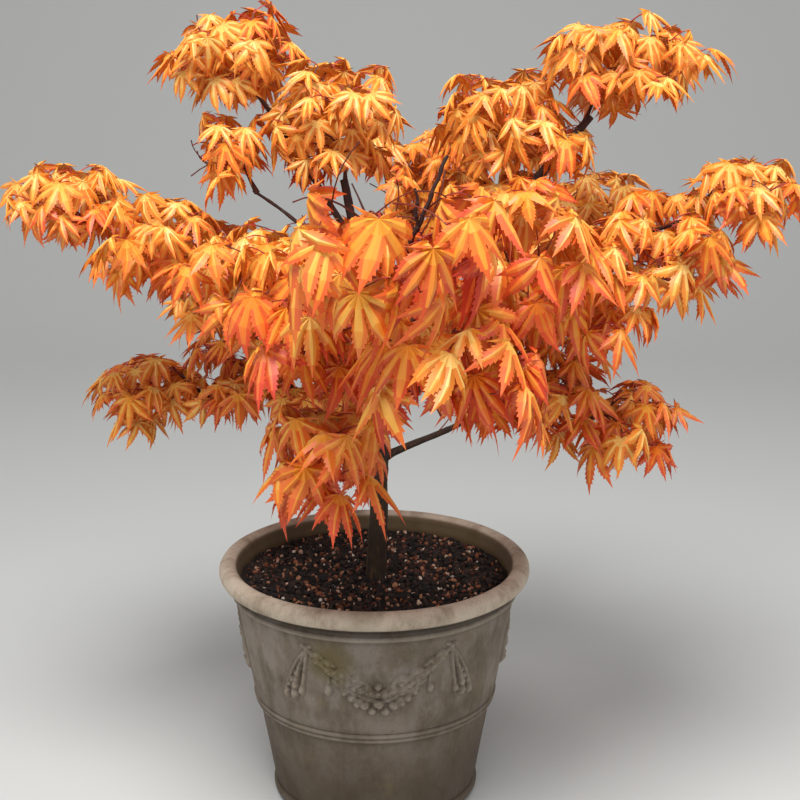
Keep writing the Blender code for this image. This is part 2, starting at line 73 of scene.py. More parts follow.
lens = bpy.data.cameras.new("camera")
lens.lens, lens.sensor_width, lens.sensor_fit = 67.5, 36.0, "HORIZONTAL"
camera = add_object("camera", lens)
camera.location = EYE
camera.rotation_euler = (math.pi / 2 - PITCH, 0, 0)
bpy.context.scene.camera = camera
bpy.context.scene.view_settings.view_transform = "Standard"

# %% [markdown]
# ## Surfaces from arrays
#
# Most shapes here are grids: a row of points for each step one way and a column for each step the other way.
# A grid can be closed on itself, as round a tube. The points of all tubes of one kind are worked out
# together, so that a thousand twigs cost no more lines than one.


# %% Helpers for points and curves
def unit(vectors):
    """Each vector divided by its length."""
    return vectors / np.maximum(norm(vectors, axis=-1, keepdims=True), 1e-12)


def joined(*parts):
    """Numbers or arrays brought to one shape and set side by side, as x, y and z are in a point."""
    return np.stack(np.broadcast_arrays(*parts), axis=-1)


def around(steps):
    """So many angles, evenly round a circle."""
    return np.linspace(0, 2 * math.pi, steps, endpoint=False)


def curve(start, bend, end, t):
    """A curve of the second degree: (1 - t)^2 * start + 2 t (1 - t) * bend + t^2 * end."""
    return (1 - t) ** 2 * start + 2 * t * (1 - t) * bend + t**2 * end


def read_at(shares, knots, points):
    """The points of a line at some shares, where its corners (n, 3) lie at the knots."""
    return np.stack([np.interp(shares, knots, points[:, axis]) for axis in range(3)], axis=-1)


def along_path(path):
    """The distance along a path of each of its points."""
    return np.append(0, np.cumsum(norm(np.diff(path, axis=0), axis=1)))


def smooth_step(value, low, high):
    """0 at low, 1 at high and a smooth climb between: 3 t^2 - 2 t^3."""
    t = np.clip((value - low) / (high - low), 0, 1)
    return t * t * (3 - 2 * t)


def waves(points, length, seed, count=7):
    """A smooth random height from -1 to 1 at each point: the mean of sine waves that run all ways.

    Each wave is sin(2 pi * (direction . point) / length + phase), with its length varied by up to half.
    """
    rng = np.random.default_rng(seed)
    ways = unit(rng.normal(size=(count, 3))) / (length * rng.uniform(0.65, 1.5, (count, 1)))
    phases = rng.uniform(0, 2 * math.pi, count)
    return np.sin(2 * math.pi * np.asarray(points) @ ways.T + phases).mean(axis=-1) * 1.6


# %% Helpers for grids and meshes
def grid_faces(rows, columns, closed=False):
    """The quads between neighbouring rows and columns of a grid whose points are numbered row by row."""
    row = np.arange(rows - 1)[:, None] * columns
    here = np.arange(columns if closed else columns - 1)[None, :]
    there = (here + 1) % columns
    return joined(row + here, row + there, row + columns + there, row + columns + here).reshape(-1, 4)


def repeated(faces, copies, points_each):
    """The same faces once for each copy, with every copy's points numbered after the last one's."""
    shifts = np.arange(copies)[:, None, None] * points_each
    return (faces[None] + shifts).reshape(-1, faces.shape[1])


def add_piece(name, points, face_sets, finishes, tints=None, values=None, crease=35, weld=False):
    """A mesh object from points (n, 3) and arrays of faces, each (m, corners), that rides on the plant.

    tints holds a finish's number for each face, and values holds named numbers at each point, which a
    material can read. Edges sharper than the crease, in degrees, stay crisp. weld closes poles and seams.
    """
    points = np.asarray(points, float).reshape(-1, 3)
    sizes = np.concatenate([np.full(len(faces), faces.shape[1]) for faces in face_sets])
    mesh = bpy.data.meshes.new(name)
    mesh.vertices.add(len(points))
    mesh.vertices.foreach_set("co", points.astype(np.float32).ravel())
    mesh.loops.add(int(sizes.sum()))
    mesh.loops.foreach_set("vertex_index", np.concatenate([f.ravel() for f in face_sets]).astype(np.int32))
    mesh.polygons.add(len(sizes))
    mesh.polygons.foreach_set("loop_start", (np.cumsum(sizes) - sizes).astype(np.int32))
    for finish in finishes:
        mesh.materials.append(finish)
    if tints is not None:
        mesh.polygons.foreach_set("material_index", np.asarray(tints, np.int32))
    mesh.update(calc_edges=True)
    for key, numbers in (values or {}).items():
        layer = mesh.attributes.new(key, "FLOAT", "POINT")
        layer.data.foreach_set("value", np.asarray(numbers, np.float32).ravel())
    if weld:
        work = bmesh.new()
        work.from_mesh(mesh)
        bmesh.ops.remove_doubles(work, verts=work.verts, dist=1e-6)
        work.to_mesh(mesh)
        work.free()
    mesh.shade_smooth()
    mesh.set_sharp_from_angle(angle=math.radians(crease))
    piece = add_object(name, mesh)
    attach(piece, "root")
    print(f"{name}: {len(mesh.vertices)} points, {len(mesh.polygons)} faces")
    return piece


def tubes(paths, radii, sides):
    """Points (n, rings, sides, 3) of n tubes whose paths are (n, rings, 3).

    A ring's point at angle a is its centre + radius * (cos a * across + sin a * upward), where across and
    upward are square to the path. radii is (n, rings), or (n, rings, sides) for a tube that isn't round.
    """
    headings = unit(np.gradient(paths, axis=1))
    steep = np.abs(headings[:, :, 2]).mean(axis=1) > 0.8
    level = np.where(steep[:, None], (1.0, 0.0, 0.0), (0.0, 0.0, 1.0))[:, None, :]
    across = unit(np.cross(headings, level))
    upward = np.cross(headings, across)
    angles = around(sides)[:, None]
    spread = across[:, :, None] * np.cos(angles) + upward[:, :, None] * np.sin(angles)
    radii = radii if radii.ndim == 3 else radii[:, :, None]
    return paths[:, :, None] + spread * radii[..., None]


def tube_faces(count, rings, sides):
    """The sides and both flat ends of so many tubes."""
    ends = np.array([range(sides)[::-1], range((rings - 1) * sides, rings * sides)])
    return [repeated(faces, count, rings * sides) for faces in (grid_faces(rings, sides, closed=True), ends)]


# %% [markdown]
# ## Finishes
#
# A material is a small graph of nodes. For stone, soil and bark the colour comes from noise read in Object
# coordinates, which is measured in metres on the real thing and doesn't slide. The helper below lays out
# that graph: a mottled colour, stains over it, a roughness that varies a little and a fine bump.


# %% Helpers for materials
def shade(colour):
    """Three numbers from 0 to 255 as the linear values that the shader wants; four are linear already."""
    if len(colour) == 4:
        return colour
    share = np.array(colour) / 255
    linear = np.where(share <= 0.04045, share / 12.92, ((share + 0.055) / 1.055) ** 2.4)
    return (*linear.tolist(), 1.0)


class Finish:
    """A material with short calls for adding and joining its nodes."""

    def __init__(self, name, roughness):
        self.material = bpy.data.materials.new(name)
        self.material.use_nodes = True
        self.tree = self.material.node_tree
        self.shader = self.tree.nodes["Principled BSDF"]
        self.shader.inputs["Roughness"].default_value = roughness

    def node(self, kind, values=None, **settings):
        made = self.tree.nodes.new(kind)
        for key, value in settings.items():
            setattr(made, key, value)
        for key, value in (values or {}).items():
            if isinstance(value, bpy.types.NodeSocket):
                self.tree.links.new(value, made.inputs[key])
            else:
                made.inputs[key].default_value = value
        return made

    def place(self, scale=(1, 1, 1)):
        """Object coordinates, stretched by a Mapping node."""
        where = self.node("ShaderNodeTexCoord").outputs["Object"]
        return self.node("ShaderNodeMapping", {"Vector": where, "Scale": scale}).outputs["Vector"]

    def height(self):
        return self.node("ShaderNodeSeparateXYZ", {"Vector": self.place()}).outputs["Z"]

    def value(self, name):
        """A number that the mesh holds at each point."""
        return self.node("ShaderNodeAttribute", attribute_name=name).outputs["Fac"]

    def noise(self, scale, detail, roughness, stretch=1):
        """Mottling of so many spots to the metre, with the height scaled by the stretch."""
        where = self.place((1, 1, stretch))
        values = {"Vector": where, "Scale": scale, "Detail": detail, "Roughness": roughness}
        return self.node("ShaderNodeTexNoise", values).outputs["Fac"]

    def ramp(self, factor, *stops):
        """A colour ramp through (position, colour) stops."""
        made = self.node("ShaderNodeValToRGB", {"Fac": factor})
        keys = made.color_ramp.elements
        while len(keys) < len(stops):
            keys.new(0.5)
        for key, (position, colour) in zip(keys, stops):
            key.position, key.color = position, shade(colour)
        return made.outputs["Color"]

    def mix(self, factor, first, second, blend="MIX"):
        second = second if isinstance(second, bpy.types.NodeSocket) else shade(second)
        values = {0: factor, 6: first, 7: second}
        return self.node("ShaderNodeMix", values, data_type="RGBA", blend_type=blend).outputs[2]

    def span(self, value, low, high, start=0.0, end=1.0):
        """The value's place between low and high, as a number from start to end."""
        limits = {"Value": value, "From Min": low, "From Max": high, "To Min": start, "To Max": end}
        return self.node("ShaderNodeMapRange", limits).outputs["Result"]

    def stain(self, colour, *stains):
        """The colour under stains of (value, low, high, strength, tint), each as strong as its value says."""
        for value, low, high, strength, tint in stains:
            colour = self.mix(self.span(value, low, high, 0.0, strength), colour, tint)
        return colour

    def times(self, first, second):
        return self.node("ShaderNodeMath", {0: first, 1: second}, operation="MULTIPLY").outputs[0]

    def join(self, socket, value):
        self.tree.links.new(value, self.shader.inputs[socket])

    def close(self, colour, height, strength, distance):
        """Joins the colour and a bump to the shader, and gives the finished material."""
        values = {"Height": height, "Strength": strength, "Distance": distance}
        self.join("Base Color", colour)
        self.join("Normal", self.node("ShaderNodeBump", values).outputs["Normal"])
        return self.material


def plain(name, colour, roughness=0.85):
    """A finish of one base colour, for shapes so small or so many that a pattern would not read."""
    look = Finish(name, roughness)
    look.shader.inputs["Base Color"].default_value = shade(colour)
    return look.material


# %% [markdown]
# ## The planter
#
# The planter is a round body of cast or thrown ware, so its surface is a profile turned about the upright
# axis. The profile has the real parts one after another: the inside wall, a thick rolled rim, a cove and
# a thin ring under it, two beads at the waist and one at the foot. The roll and the beads are arcs, from
# (middle + radius * cos a, middle + radius * sin a), as a potter's rib leaves them. A slow wave of a few
# tenths of a millimetre is added to the radius, because weathered ware is never perfectly true.

# %% Planter sizes
RIM_RADIUS, RIM_HEIGHT, ROLL_RADIUS = 0.200, 0.3055, 0.012  # the height is that of the roll's middle
COVE = [(0.1852, 0.2926), (0.1816, 0.2915), (0.1800, 0.2890), (0.1800, 0.2862)]
RING_RADIUS, RING_HEIGHT, RING_BEAD = 0.185, 0.2797, 0.004
UNDER_RING = [(0.1794, 0.2752)]
BODY_TOP_RADIUS, BODY_FOOT_RADIUS = 0.180, 0.1335
FOOT_BEAD, FOOT_SUNK, FOOT_HEIGHT = 0.006, 0.004, 0.022
WAIST_HEIGHT, WAIST_BEAD, WAIST_STEP = 0.138, 0.0032, 0.004
WAIST_SUNK = 0.0016  # how far the waist beads' middles lie inside the upper body
WALL, FLOOR = 0.017, 0.024
TURN_STEPS = 288


# %% Planter profile
def arc(middle, radius, start, end, steps):
    """Points along an arc, with its angles in degrees from outwards towards up."""
    angles = np.radians(np.linspace(start, end, steps))
    return joined(middle[0] + radius * np.cos(angles), middle[1] + radius * np.sin(angles))


def body_radius(height):
    """The body's outer radius: a straight taper from foot to ring, with a small step at the waist."""
    share = (height - FOOT_HEIGHT) / (RING_HEIGHT - FOOT_HEIGHT)
    taper = BODY_FOOT_RADIUS + share * (BODY_TOP_RADIUS - BODY_FOOT_RADIUS - WAIST_STEP)
    return taper + np.where(height > WAIST_HEIGHT, WAIST_STEP, 0)


def inner_radius(height):
    """The inside wall's radius: a straight taper from the floor to the roll."""
    foot = BODY_FOOT_RADIUS - WALL
    return foot + (height - FLOOR) / (RIM_HEIGHT - FLOOR) * (RIM_RADIUS - 2 * ROLL_RADIUS - foot)


def wall(high, low, steps):
    """Points down the body's outer wall."""
    heights = np.linspace(high, low, steps)
    return joined(body_radius(heights), heights)


def planter_profile():
    """The whole section from the floor's middle, up the inside, over the roll and down to the foot."""
    waist = body_radius(WAIST_HEIGHT + WAIST_BEAD) - WAIST_SUNK
    heights = np.append((FLOOR, 0.15, 0.28), np.linspace(0.288, RIM_HEIGHT - 0.0015, 10))
    foot = BODY_FOOT_RADIUS - FOOT_SUNK
    parts = [
        [(0, FLOOR)],
        joined(inner_radius(heights), heights),
        arc((RIM_RADIUS - ROLL_RADIUS, RIM_HEIGHT), ROLL_RADIUS, 180, -80, 40),
        COVE,
        arc((RING_RADIUS - RING_BEAD, RING_HEIGHT), RING_BEAD, 75, -65, 11),
        UNDER_RING,
        wall(RING_HEIGHT - 1.6 * RING_BEAD, WAIST_HEIGHT + 2.4 * WAIST_BEAD, 24),
        arc((waist, WAIST_HEIGHT + WAIST_BEAD), WAIST_BEAD, 75, -50, 9),
        arc((waist - WAIST_SUNK, WAIST_HEIGHT - WAIST_BEAD), WAIST_BEAD, 50, -75, 9),
        wall(WAIST_HEIGHT - 2.4 * WAIST_BEAD, FOOT_HEIGHT, 18),
        arc((foot, FOOT_BEAD + FOOT_SUNK), FOOT_BEAD, 75, -75, 9),
        [(foot, 0), (0, 0)],
    ]
    return np.concatenate(parts)


# %% Turn the planter
def turned(profile, steps):
    """Points (rows, steps, 3): each (radius, height) of the profile carried round the upright axis."""
    angles, radius, height = around(steps), profile[:, :1], profile[:, 1:]
    return joined(radius * np.cos(angles), radius * np.sin(angles), height)


def weathered(points):
    """The points moved in or out from the axis by slow waves, 0.4 mm over 110 mm and 0.15 mm over 22 mm."""
    uneven = 0.0004 * waves(points, 0.11, seed=1) + 0.00015 * waves(points, 0.022, seed=2)
    return points * joined(1 + uneven / RIM_RADIUS, 1 + uneven / RIM_RADIUS, 1)


profile = planter_profile()
planter_points = weathered(turned(profile, TURN_STEPS))
print("planter profile:", len(profile), "points round", TURN_STEPS, "steps")

# %% [markdown]
# ## Weathered stoneware
#
# Old garden ware is a patchwork: grey where rain keeps it clean, pale on the rim, olive where algae sits, and
# a darker brown on the inside wall. Towards the foot the body is painted darker and browner, which is painted
# shade, and a painted shadow lies in the cove under the roll. Each point of the planter also carries a
# number, from -1 in
# a groove to 1 on a crest: how far it stands out from the mean of its surroundings, weighted by
# exp(-distance^2 / (2 * 5 mm^2)). The material reads it: hollows are darker, partly as dirt and partly as
# painted shade, and crests paler, partly as rubbed wear and partly as a painted highlight.

# %% Stoneware finish
STONE = (0.34, (98, 86, 71)), (0.50, (121, 108, 95)), (0.66, (146, 133, 121))
RIM_STONE = (0.33, (150, 132, 112)), (0.48, (186, 169, 149)), (0.66, (212, 197, 178))
SPECK = (0.30, (0.70, 0.68, 0.66, 1)), (0.5, (1, 1, 1, 1))
# The first colour is painted shade, which makes the body darker and browner towards the foot; the others
# mottle it.
PAINTED_LOW_SHADE, DUST, PALE_BLOOM, DARK_BLOOM = (74, 60, 44), (118, 102, 80), (146, 137, 129), (86, 74, 58)
# The first colour is a painted shadow for the cove under the roll; the others are algae stains and the inside
# wall's colour.
PAINTED_RIM_SHADOW, ALGAE, ALGAE_SPOT, INSIDE = (38, 30, 22), (112, 100, 66), (104, 92, 54), (94, 74, 44)
# The first darkens hollows, as dirt and as painted shade; the second pales crests, as rubbed wear and as a
# painted highlight.
DIRT_AND_SHADE, WEAR_AND_HIGHLIGHT = (62, 48, 34), (196, 182, 160)
ALGAE_SPOTS = (  # middle, size and how strong
    ((-0.052, -0.168, 0.243), 0.036, 0.85),
    ((-0.012, -0.190, 0.316), 0.028, 0.38),
)


def stoneware():
    look = Finish("stoneware", 0.88)
    height, wear = look.height(), look.value("wear")
    cloud, patch = look.noise(11, 5, 0.6), look.noise(26, 6, 0.65, 0.6)
    bloom = look.noise(36, 6, 0.7, 0.45)
    body = look.stain(
        look.ramp(cloud, *STONE),
        (look.noise(44, 4, 0.6, 0.16), 0.50, 0.72, 0.55, DUST),
        (bloom, 0.49, 0.62, 0.48, PALE_BLOOM),
        (bloom, 0.46, 0.36, 0.50, DARK_BLOOM),
        # painted shade: darker and browner towards the foot
        (height, 0.185, 0.060, 0.78, PAINTED_LOW_SHADE),
    )
    colour = look.mix(look.span(height, 0.290, 0.297), body, look.ramp(patch, *RIM_STONE))
    # Painted shadow: a dark band in the cove under the roll, where the roll's shadow falls.
    rim_shadow = look.times(look.span(height, 0.2985, 0.2935), look.span(height, 0.2850, 0.2890))
    colour = look.stain(colour, (rim_shadow, 0, 1, 0.95, PAINTED_RIM_SHADOW), (patch, 0.56, 0.70, 0.45, ALGAE))
    for middle, size, strength in ALGAE_SPOTS:
        ends = {0: look.place(), 1: middle}
        away = look.node("ShaderNodeVectorMath", ends, operation="DISTANCE").outputs["Value"]
        near = look.span(away, size, size * 0.35, 0.0, strength)
        colour = look.mix(look.times(near, look.span(cloud, 0.28, 0.44)), colour, ALGAE_SPOT)
    colour = look.stain(
        colour,
        (look.value("inner"), 0, 1, 0.92, INSIDE),
        # hollows darker, partly dirt and partly painted shade; crests paler, partly rubbed wear and partly a
        # painted highlight
        (wear, -0.10, -0.9, 0.5, DIRT_AND_SHADE),
        (wear, 0.15, 1.0, 0.24, WEAR_AND_HIGHLIGHT),
    )
    speck = look.ramp(look.noise(520, 3, 0.7), *SPECK)
    look.join("Roughness", look.span(patch, 0.3, 0.7, 0.95, 0.80))
    return look.close(look.mix(0.6, colour, speck, "MULTIPLY"), look.noise(170, 5, 0.7), 0.5, 0.0012)


STONEWARE = stoneware()


# %% The planter's piece
def profile_wear_and_shade(profile):
    """How far each radius is outside the mean of those around it, over 2.4 mm; none before the rim's edge."""
    way = along_path(profile)
    share = np.minimum(np.gradient(way), 0.004) * np.exp(-((way[:, None] - way) ** 2) / (2 * 0.005**2))
    wear = (profile[:, 0] - share @ profile[:, 0] / share.sum(axis=1)) / 0.0024
    edge = way[profile[:, 0].argmax()]
    wear[-12:] *= np.linspace(1, 0, 12)
    return np.clip(wear, -1, 1) * smooth_step(way, edge - 0.008, edge + 0.001)


inside = np.arange(len(profile)) < profile[:, 1].argmax()
inner = np.where(inside, smooth_step(profile[:, 1], 0.3150, 0.3115), 0)
planter = add_piece(
    "planter_body",
    planter_points,
    [grid_faces(len(profile), TURN_STEPS, closed=True)[:, ::-1]],
    [STONEWARE],
    values={"wear": np.repeat(profile_wear_and_shade(profile), TURN_STEPS), "inner": np.repeat(inner, TURN_STEPS)},
    crease=50,
    weld=True,
)
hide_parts("planter")

# %% [markdown]
# ## The garlands
#
# Each garland is a traditional swag of leaves and fruit between two bows, with a tassel below each bow and a
# single drop on each side. It was pressed in a mould and laid on the wet body, then softened by weather. So
# it is made as one height over the wall. First flat, in millimetres: across from the garland's middle, and
# height. Every leaf, fruit and cord gives its own height above the wall, and they are joined by a soft
# maximum, k * log(sum(exp(height / k))), which keeps the crests and fills the creases a little, as casting
# and weather do. Then the sheet is wrapped round the body: the angle is across / radius, and the distance
# from the axis is the body's radius + height.

# %% What the mould holds
GARLANDS = 3
GARLAND_TURN = math.radians(2.9)
SWAG_ENDS, SWAG_SAG = (91.0, 259.0), 55.0  # across and height of a bow, in mm, and how far the swag hangs
RELIEF_STEP = 0.8
SOFTNESS = 0.8

# On the right half: a leaf's root and tip (across, height) and half its width.
SWAG_LEAVES = (
    (85, 254, 68, 247, 3.9), (83, 246, 66, 236, 3.7), (73, 245, 53, 238, 4.4), (70, 236, 50, 226, 4.5),
    (59, 232, 32, 221, 6.0), (58, 223, 35, 210, 5.8), (38, 222, 13, 216, 6.2), (38, 211, 12, 199, 6.4),
    (25, 212, 5, 207, 5.3), (47, 213, 34, 199, 5.1), (22, 203, 2, 193, 5.6), (30, 199, 20, 184, 5.3),
)
# A fruit's middle and radius, for both halves.
SWAG_FRUIT = (
    (-2, 214, 6.6), (26, 216, 5.6), (-27, 215, 5.4), (34, 196, 6.6), (-33, 198, 7.6), (17, 187, 8.1),
    (-18, 188, 7.8), (-1, 190, 8.8), (-9, 180, 6.8), (7, 179, 7.3), (27, 189, 5.6), (-27, 189, 5.9),
    (43, 203, 4.6), (-43, 204, 4.6),
)
# A tassel's cords on the right half: from the bow by way of a bend to the end, and the thickness there.
TASSEL_CORDS = (
    ((91, 257), (108, 241), (122, 196), 3.1),
    ((94, 252), (103, 228), (110, 200), 4.3),
    ((91, 254), (94, 228), (98, 203), 2.6),
)
DROP_CORD = np.array([(62.0, 226.0), (62.8, 210.0)])
TASSEL_BEADS = ((101, 230, 4.4), (106, 221, 5.2), (111, 211, 6.0), (108, 202, 6.0), (117, 203, 5.4))
BUDS = ((121.0, 190, 6.6), (109.5, 191, 6.8), (99.0, 197, 5.6), (63, 205, 6.2))
BOW = ((91, 260, 4.6), (86, 263, 3.2), (96.5, 262, 3.2))
HAND = (0, 0.5, 0, -0.4, 0)  # the halves were carved by hand and differ a little


# %% Heights of the relief
def swag_line(shares):
    """(across, height) of the swag's middle line: it drops by the sag times 1 - |share| ** 1.7."""
    return joined(SWAG_ENDS[0] * shares, SWAG_ENDS[1] - SWAG_SAG * (1 - np.abs(shares) ** 1.7))


def leaf_heights(spots, leaf):
    """A blade's height: crest - 2.2 * (v / w)^2 at u along it and v across, with w = W * sin(pi u^0.8)^0.6.

    Its midrib is a groove, and past its ends the height falls away fast.
    """
    root, tip, width = np.array(leaf[0:2]), np.array(leaf[2:4]), leaf[4]
    length = norm(tip - root)
    way = (tip - root) / length
    u = ((spots - root) @ way) / length
    v = (spots - root) @ (-way[1], way[0]) + 0.05 * length * np.sin(math.pi * u)
    t = np.clip(u, 0.001, 0.999)
    half = width * np.sin(math.pi * t**0.8) ** 0.6 + 0.3
    crest = 2.6 + 0.42 * width * np.sin(math.pi * t**0.7)
    return crest - 2.2 * (v / half) ** 2 - 0.7 * np.exp(-((v / 0.6) ** 2)) - ((u - t) * length / 0.7) ** 2


def knob_heights(spots, x, z, size, tall=1.0):
    """A dome: its top less 1.1 * size * (distance / size)^2."""
    away = ((spots[..., 0] - x) ** 2 + ((spots[..., 1] - z) / tall) ** 2) / size**2
    return 1.6 + 0.72 * size - 1.1 * size * away


def cord_heights(spots, path, sizes):
    """A cord of changing thickness: the highest of its stretches, each a dome across the way to its line."""
    best = np.full(spots.shape[:-1], -50.0)
    for start, end, size in zip(path[:-1], path[1:], sizes):
        way = end - start
        u = np.clip(((spots - start) @ way) / (way @ way), 0, 1)[..., None]
        away = ((spots - start - u * way) ** 2).sum(axis=-1) / size**2
        best = np.maximum(best, 0.9 + 0.75 * size - 1.2 * size * away)
    return best


def mould(spots):
    """The height above the wall, in mm, at spots (..., 2) of (across, height)."""
    shares = np.linspace(-1, 1, 25)
    layers = [cord_heights(spots, swag_line(shares), 4.0 + 5.0 * (1 - np.abs(shares)) ** 0.8) - 0.9]
    fall = np.linspace(0, 1, 9)[:, None]
    for side in (-1, 1):
        here = spots * (side, 1)
        layers += [leaf_heights(here, np.array(leaf) + np.array(HAND) * side) for leaf in SWAG_LEAVES]
        layers += [knob_heights(here, *bead) for bead in TASSEL_BEADS + BOW]
        layers += [knob_heights(here, *bud, 1.5) for bud in BUDS]
        for *corners, size in TASSEL_CORDS:
            path = curve(*map(np.array, corners), fall)
            layers.append(cord_heights(here, path, np.linspace(3.2, 1.35 * size, 8)))
        layers.append(cord_heights(here, DROP_CORD, [2.0]))
    layers += [knob_heights(spots, *fruit) for fruit in SWAG_FRUIT]
    total = SOFTNESS * np.log(np.exp(np.clip(np.array(layers), -12, 12) / SOFTNESS).sum(axis=0))
    raised = SOFTNESS * np.log1p(np.exp(np.clip(total, -12, 12) / SOFTNESS))
    flat = joined(spots[..., 0], spots[..., 1], 0.0)
    return raised * (1 + (0.17 * waves(flat, 7.0, seed=3) + 0.14 * waves(flat, 3.6, seed=4))) - 0.12


def blurred(grid, steps):
    """The grid's mean round each point, weighted by exp(-steps away^2 / (2 * steps^2))."""
    for _ in range(2):
        place = np.arange(len(grid))
        share = np.exp(-((place[:, None] - place) ** 2) / (2 * steps**2))
        grid = ((share / share.sum(axis=1, keepdims=True)) @ grid).T
    return grid


# %% Lay the garlands on the planter
across, height = np.meshgrid(np.arange(-132, 132.1, RELIEF_STEP), np.arange(171, 271.1, RELIEF_STEP))
relief = mould(joined(across, height))
# how far the relief stands out: dirt and painted shade in its hollows, wear and a painted highlight on its
# crests
relief_wear_and_shade = np.clip((relief - blurred(relief, 3.5)) / 1.6, -1, 1)
quads = grid_faces(*relief.shape)
quads = quads[relief.ravel()[quads].max(axis=1) > -0.09]
used, quads = np.unique(quads, return_inverse=True)
radius = body_radius(height / 1000)
out = radius + relief / 1000
for number in range(GARLANDS):
    angle = GARLAND_TURN + number * 2 * math.pi / GARLANDS + across / 1000 / radius
    points = weathered(joined(out * np.sin(angle), -out * np.cos(angle), height / 1000))
    add_piece(
        f"garland_{number + 1}",
        points.reshape(-1, 3)[used],
        [quads.reshape(-1, 4)],
        [STONEWARE],
        values={"wear": relief_wear_and_shade.ravel()[used]},
        crease=80,
    )

# %% [markdown]
# ## Compost
#
# The pot is filled to just under its rim with dark bark compost. Its surface is lumpy: a slow wave for the
# heaps and a quick one for the clods. The loose bits that catch the eye are separate small stones and chips,
# each a ball of a few faces whose points are pushed in and out, then flattened, turned and bedded in.

# %% The soil's surface
SOIL_EDGE_HEIGHT, SOIL_DOME, SOIL_GAP = 0.292, 0.005, 0.0003
SOIL_ROWS, SOIL_STEPS = 70, 200
SOIL_SHADES = (0.36, (11, 7, 5)), (0.55, (28, 19, 14)), (0.72, (58, 38, 26))


def soil_top(x, y):
    """The height of the compost: a low dome, with heaps 40 mm apart and clods 9 mm apart."""
    edge = inner_radius(SOIL_EDGE_HEIGHT)
    dome = SOIL_EDGE_HEIGHT + SOIL_DOME * np.clip(1 - (np.hypot(x, y) / edge) ** 2, 0, 1)
    flat = joined(x, y, 0.0)
    return dome + 0.0022 * waves(flat, 0.045, seed=11) + 0.0016 * waves(flat, 0.011, seed=12, count=9)


def compost():
    look = Finish("compost", 0.95)
    return look.close(look.ramp(look.noise(95, 6, 0.7), *SOIL_SHADES), look.noise(260, 5, 0.75), 0.9, 0.002)


reach = np.linspace(0, 1, SOIL_ROWS)[:, None] * (inner_radius(SOIL_EDGE_HEIGHT) - SOIL_GAP)
angles = around(SOIL_STEPS)[None, :]
x, y = reach * np.cos(angles), reach * np.sin(angles)
foot_radius = inner_radius(FLOOR) - SOIL_GAP
under = turned(np.array([(foot_radius, FLOOR + SOIL_GAP), (0, FLOOR + SOIL_GAP)]), SOIL_STEPS)
soil = add_piece(
    "compost_surface",
    np.concatenate([joined(x, y, soil_top(x, y)), under]),
    [grid_faces(SOIL_ROWS + 2, SOIL_STEPS, closed=True)[:, ::-1]],
    [compost()],
    crease=70,
    weld=True,
)
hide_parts("soil")


# %% Bark chips and grit
def turns(rng, count):
    """So many random rotations (count, 3, 3), from random unit quaternions."""
    w, x, y, z = unit(rng.normal(size=(count, 4))).T
    rows = (
        joined(1 - 2 * (y * y + z * z), 2 * (x * y - z * w), 2 * (x * z + y * w)),
        joined(2 * (x * y + z * w), 1 - 2 * (x * x + z * z), 2 * (y * z - x * w)),
        joined(2 * (x * z - y * w), 2 * (y * z + x * w), 1 - 2 * (x * x + y * y)),
    )
    return np.stack(rows, axis=1)


def crumbs(name, count, sizes, flatness, seed, *colours):
    """Small stones strewn evenly over the compost: a ball of 5 by 6 points, uneven, flattened and turned."""
    rng = np.random.default_rng(seed)
    dip, ring = np.linspace(0, math.pi, 5)[:, None], around(6)[None, :]
    ball = joined(np.sin(dip) * np.cos(ring), np.sin(dip) * np.sin(ring), np.cos(dip))
    size = rng.uniform(*sizes, count)
    stretch = joined(1.0, rng.uniform(0.5, 0.9, count), flatness)
    shapes = ball[None] * (size[:, None] * stretch)[:, None, None]
    shapes = shapes * (1 + rng.uniform(-0.25, 0.25, (count, 1, 6, 1)) * np.sin(dip)[None, :, :, None])
    shapes = np.einsum("nij,nrcj->nrci", turns(rng, count), shapes)
    distance = np.sqrt(rng.uniform(0.01, 1, count)) * (inner_radius(SOIL_EDGE_HEIGHT) - 0.006)
    angle = rng.uniform(0, 2 * math.pi, count)
    x, y = distance * np.cos(angle), distance * np.sin(angle)
    shapes = shapes + joined(x, y, soil_top(x, y) + 0.25 * size)[:, None, None]
    faces = repeated(grid_faces(5, 6, closed=True), count, 30)
    tints = np.repeat(rng.integers(0, len(colours), count), 24)
    finishes = [plain(f"{name}_{number}", colour) for number, colour in enumerate(colours)]
    faces = [faces[:, ::-1]]
    return add_piece(name, shapes, faces, finishes, tints=tints, crease=25, weld=True)


DARK_CHIPS = (20, 14, 11), (34, 23, 18), (52, 35, 26)
TAN_CHIPS = (104, 56, 34), (140, 84, 56), (80, 40, 26), (168, 116, 84)
PALE_GRIT = (204, 172, 146), (186, 146, 122), (224, 210, 194)
crumbs("dark_chips", 1500, (0.0025, 0.0060), 0.55, 21, *DARK_CHIPS)
crumbs("tan_chips", 700, (0.0021, 0.0050), 0.55, 22, *TAN_CHIPS)
crumbs("pale_grit", 240, (0.0016, 0.0036), 0.8, 23, *PALE_GRIT)

# %% [markdown]
# ## Trunk and boughs
#
# The trunk leans a little and flares where it meets the compost. Each bough leaves its parent limb on a
# curve of the second degree: (1 - t)^2 * root + 2 t (1 - t) * bend + t^2 * goal. It stops where it enters its
# mass of leaves. The masses are ellipsoids; where two would meet, the plane between them is the border.
# The same table and the same rules made the solids, so bark and leaves end up on them.

# %% Masses and limbs
TRUNK_FOOT = np.array((0.003, -0.020, SOIL_EDGE_HEIGHT + SOIL_DOME))
TRUNK_TOP = np.array((0.009, -0.018, 0.590))
TRUNK_RADIUS, TRUNK_TOP_RADIUS = 0.0121, 0.0105
FLARE, FLARE_HEIGHT = 0.0020, 0.016
BOUGH_TAPER, BOUGH_ENDS_AT = 0.55, 0.72
LIMB_RINGS, LIMB_SIDES = 56, 20
CURVE_STEPS = 400

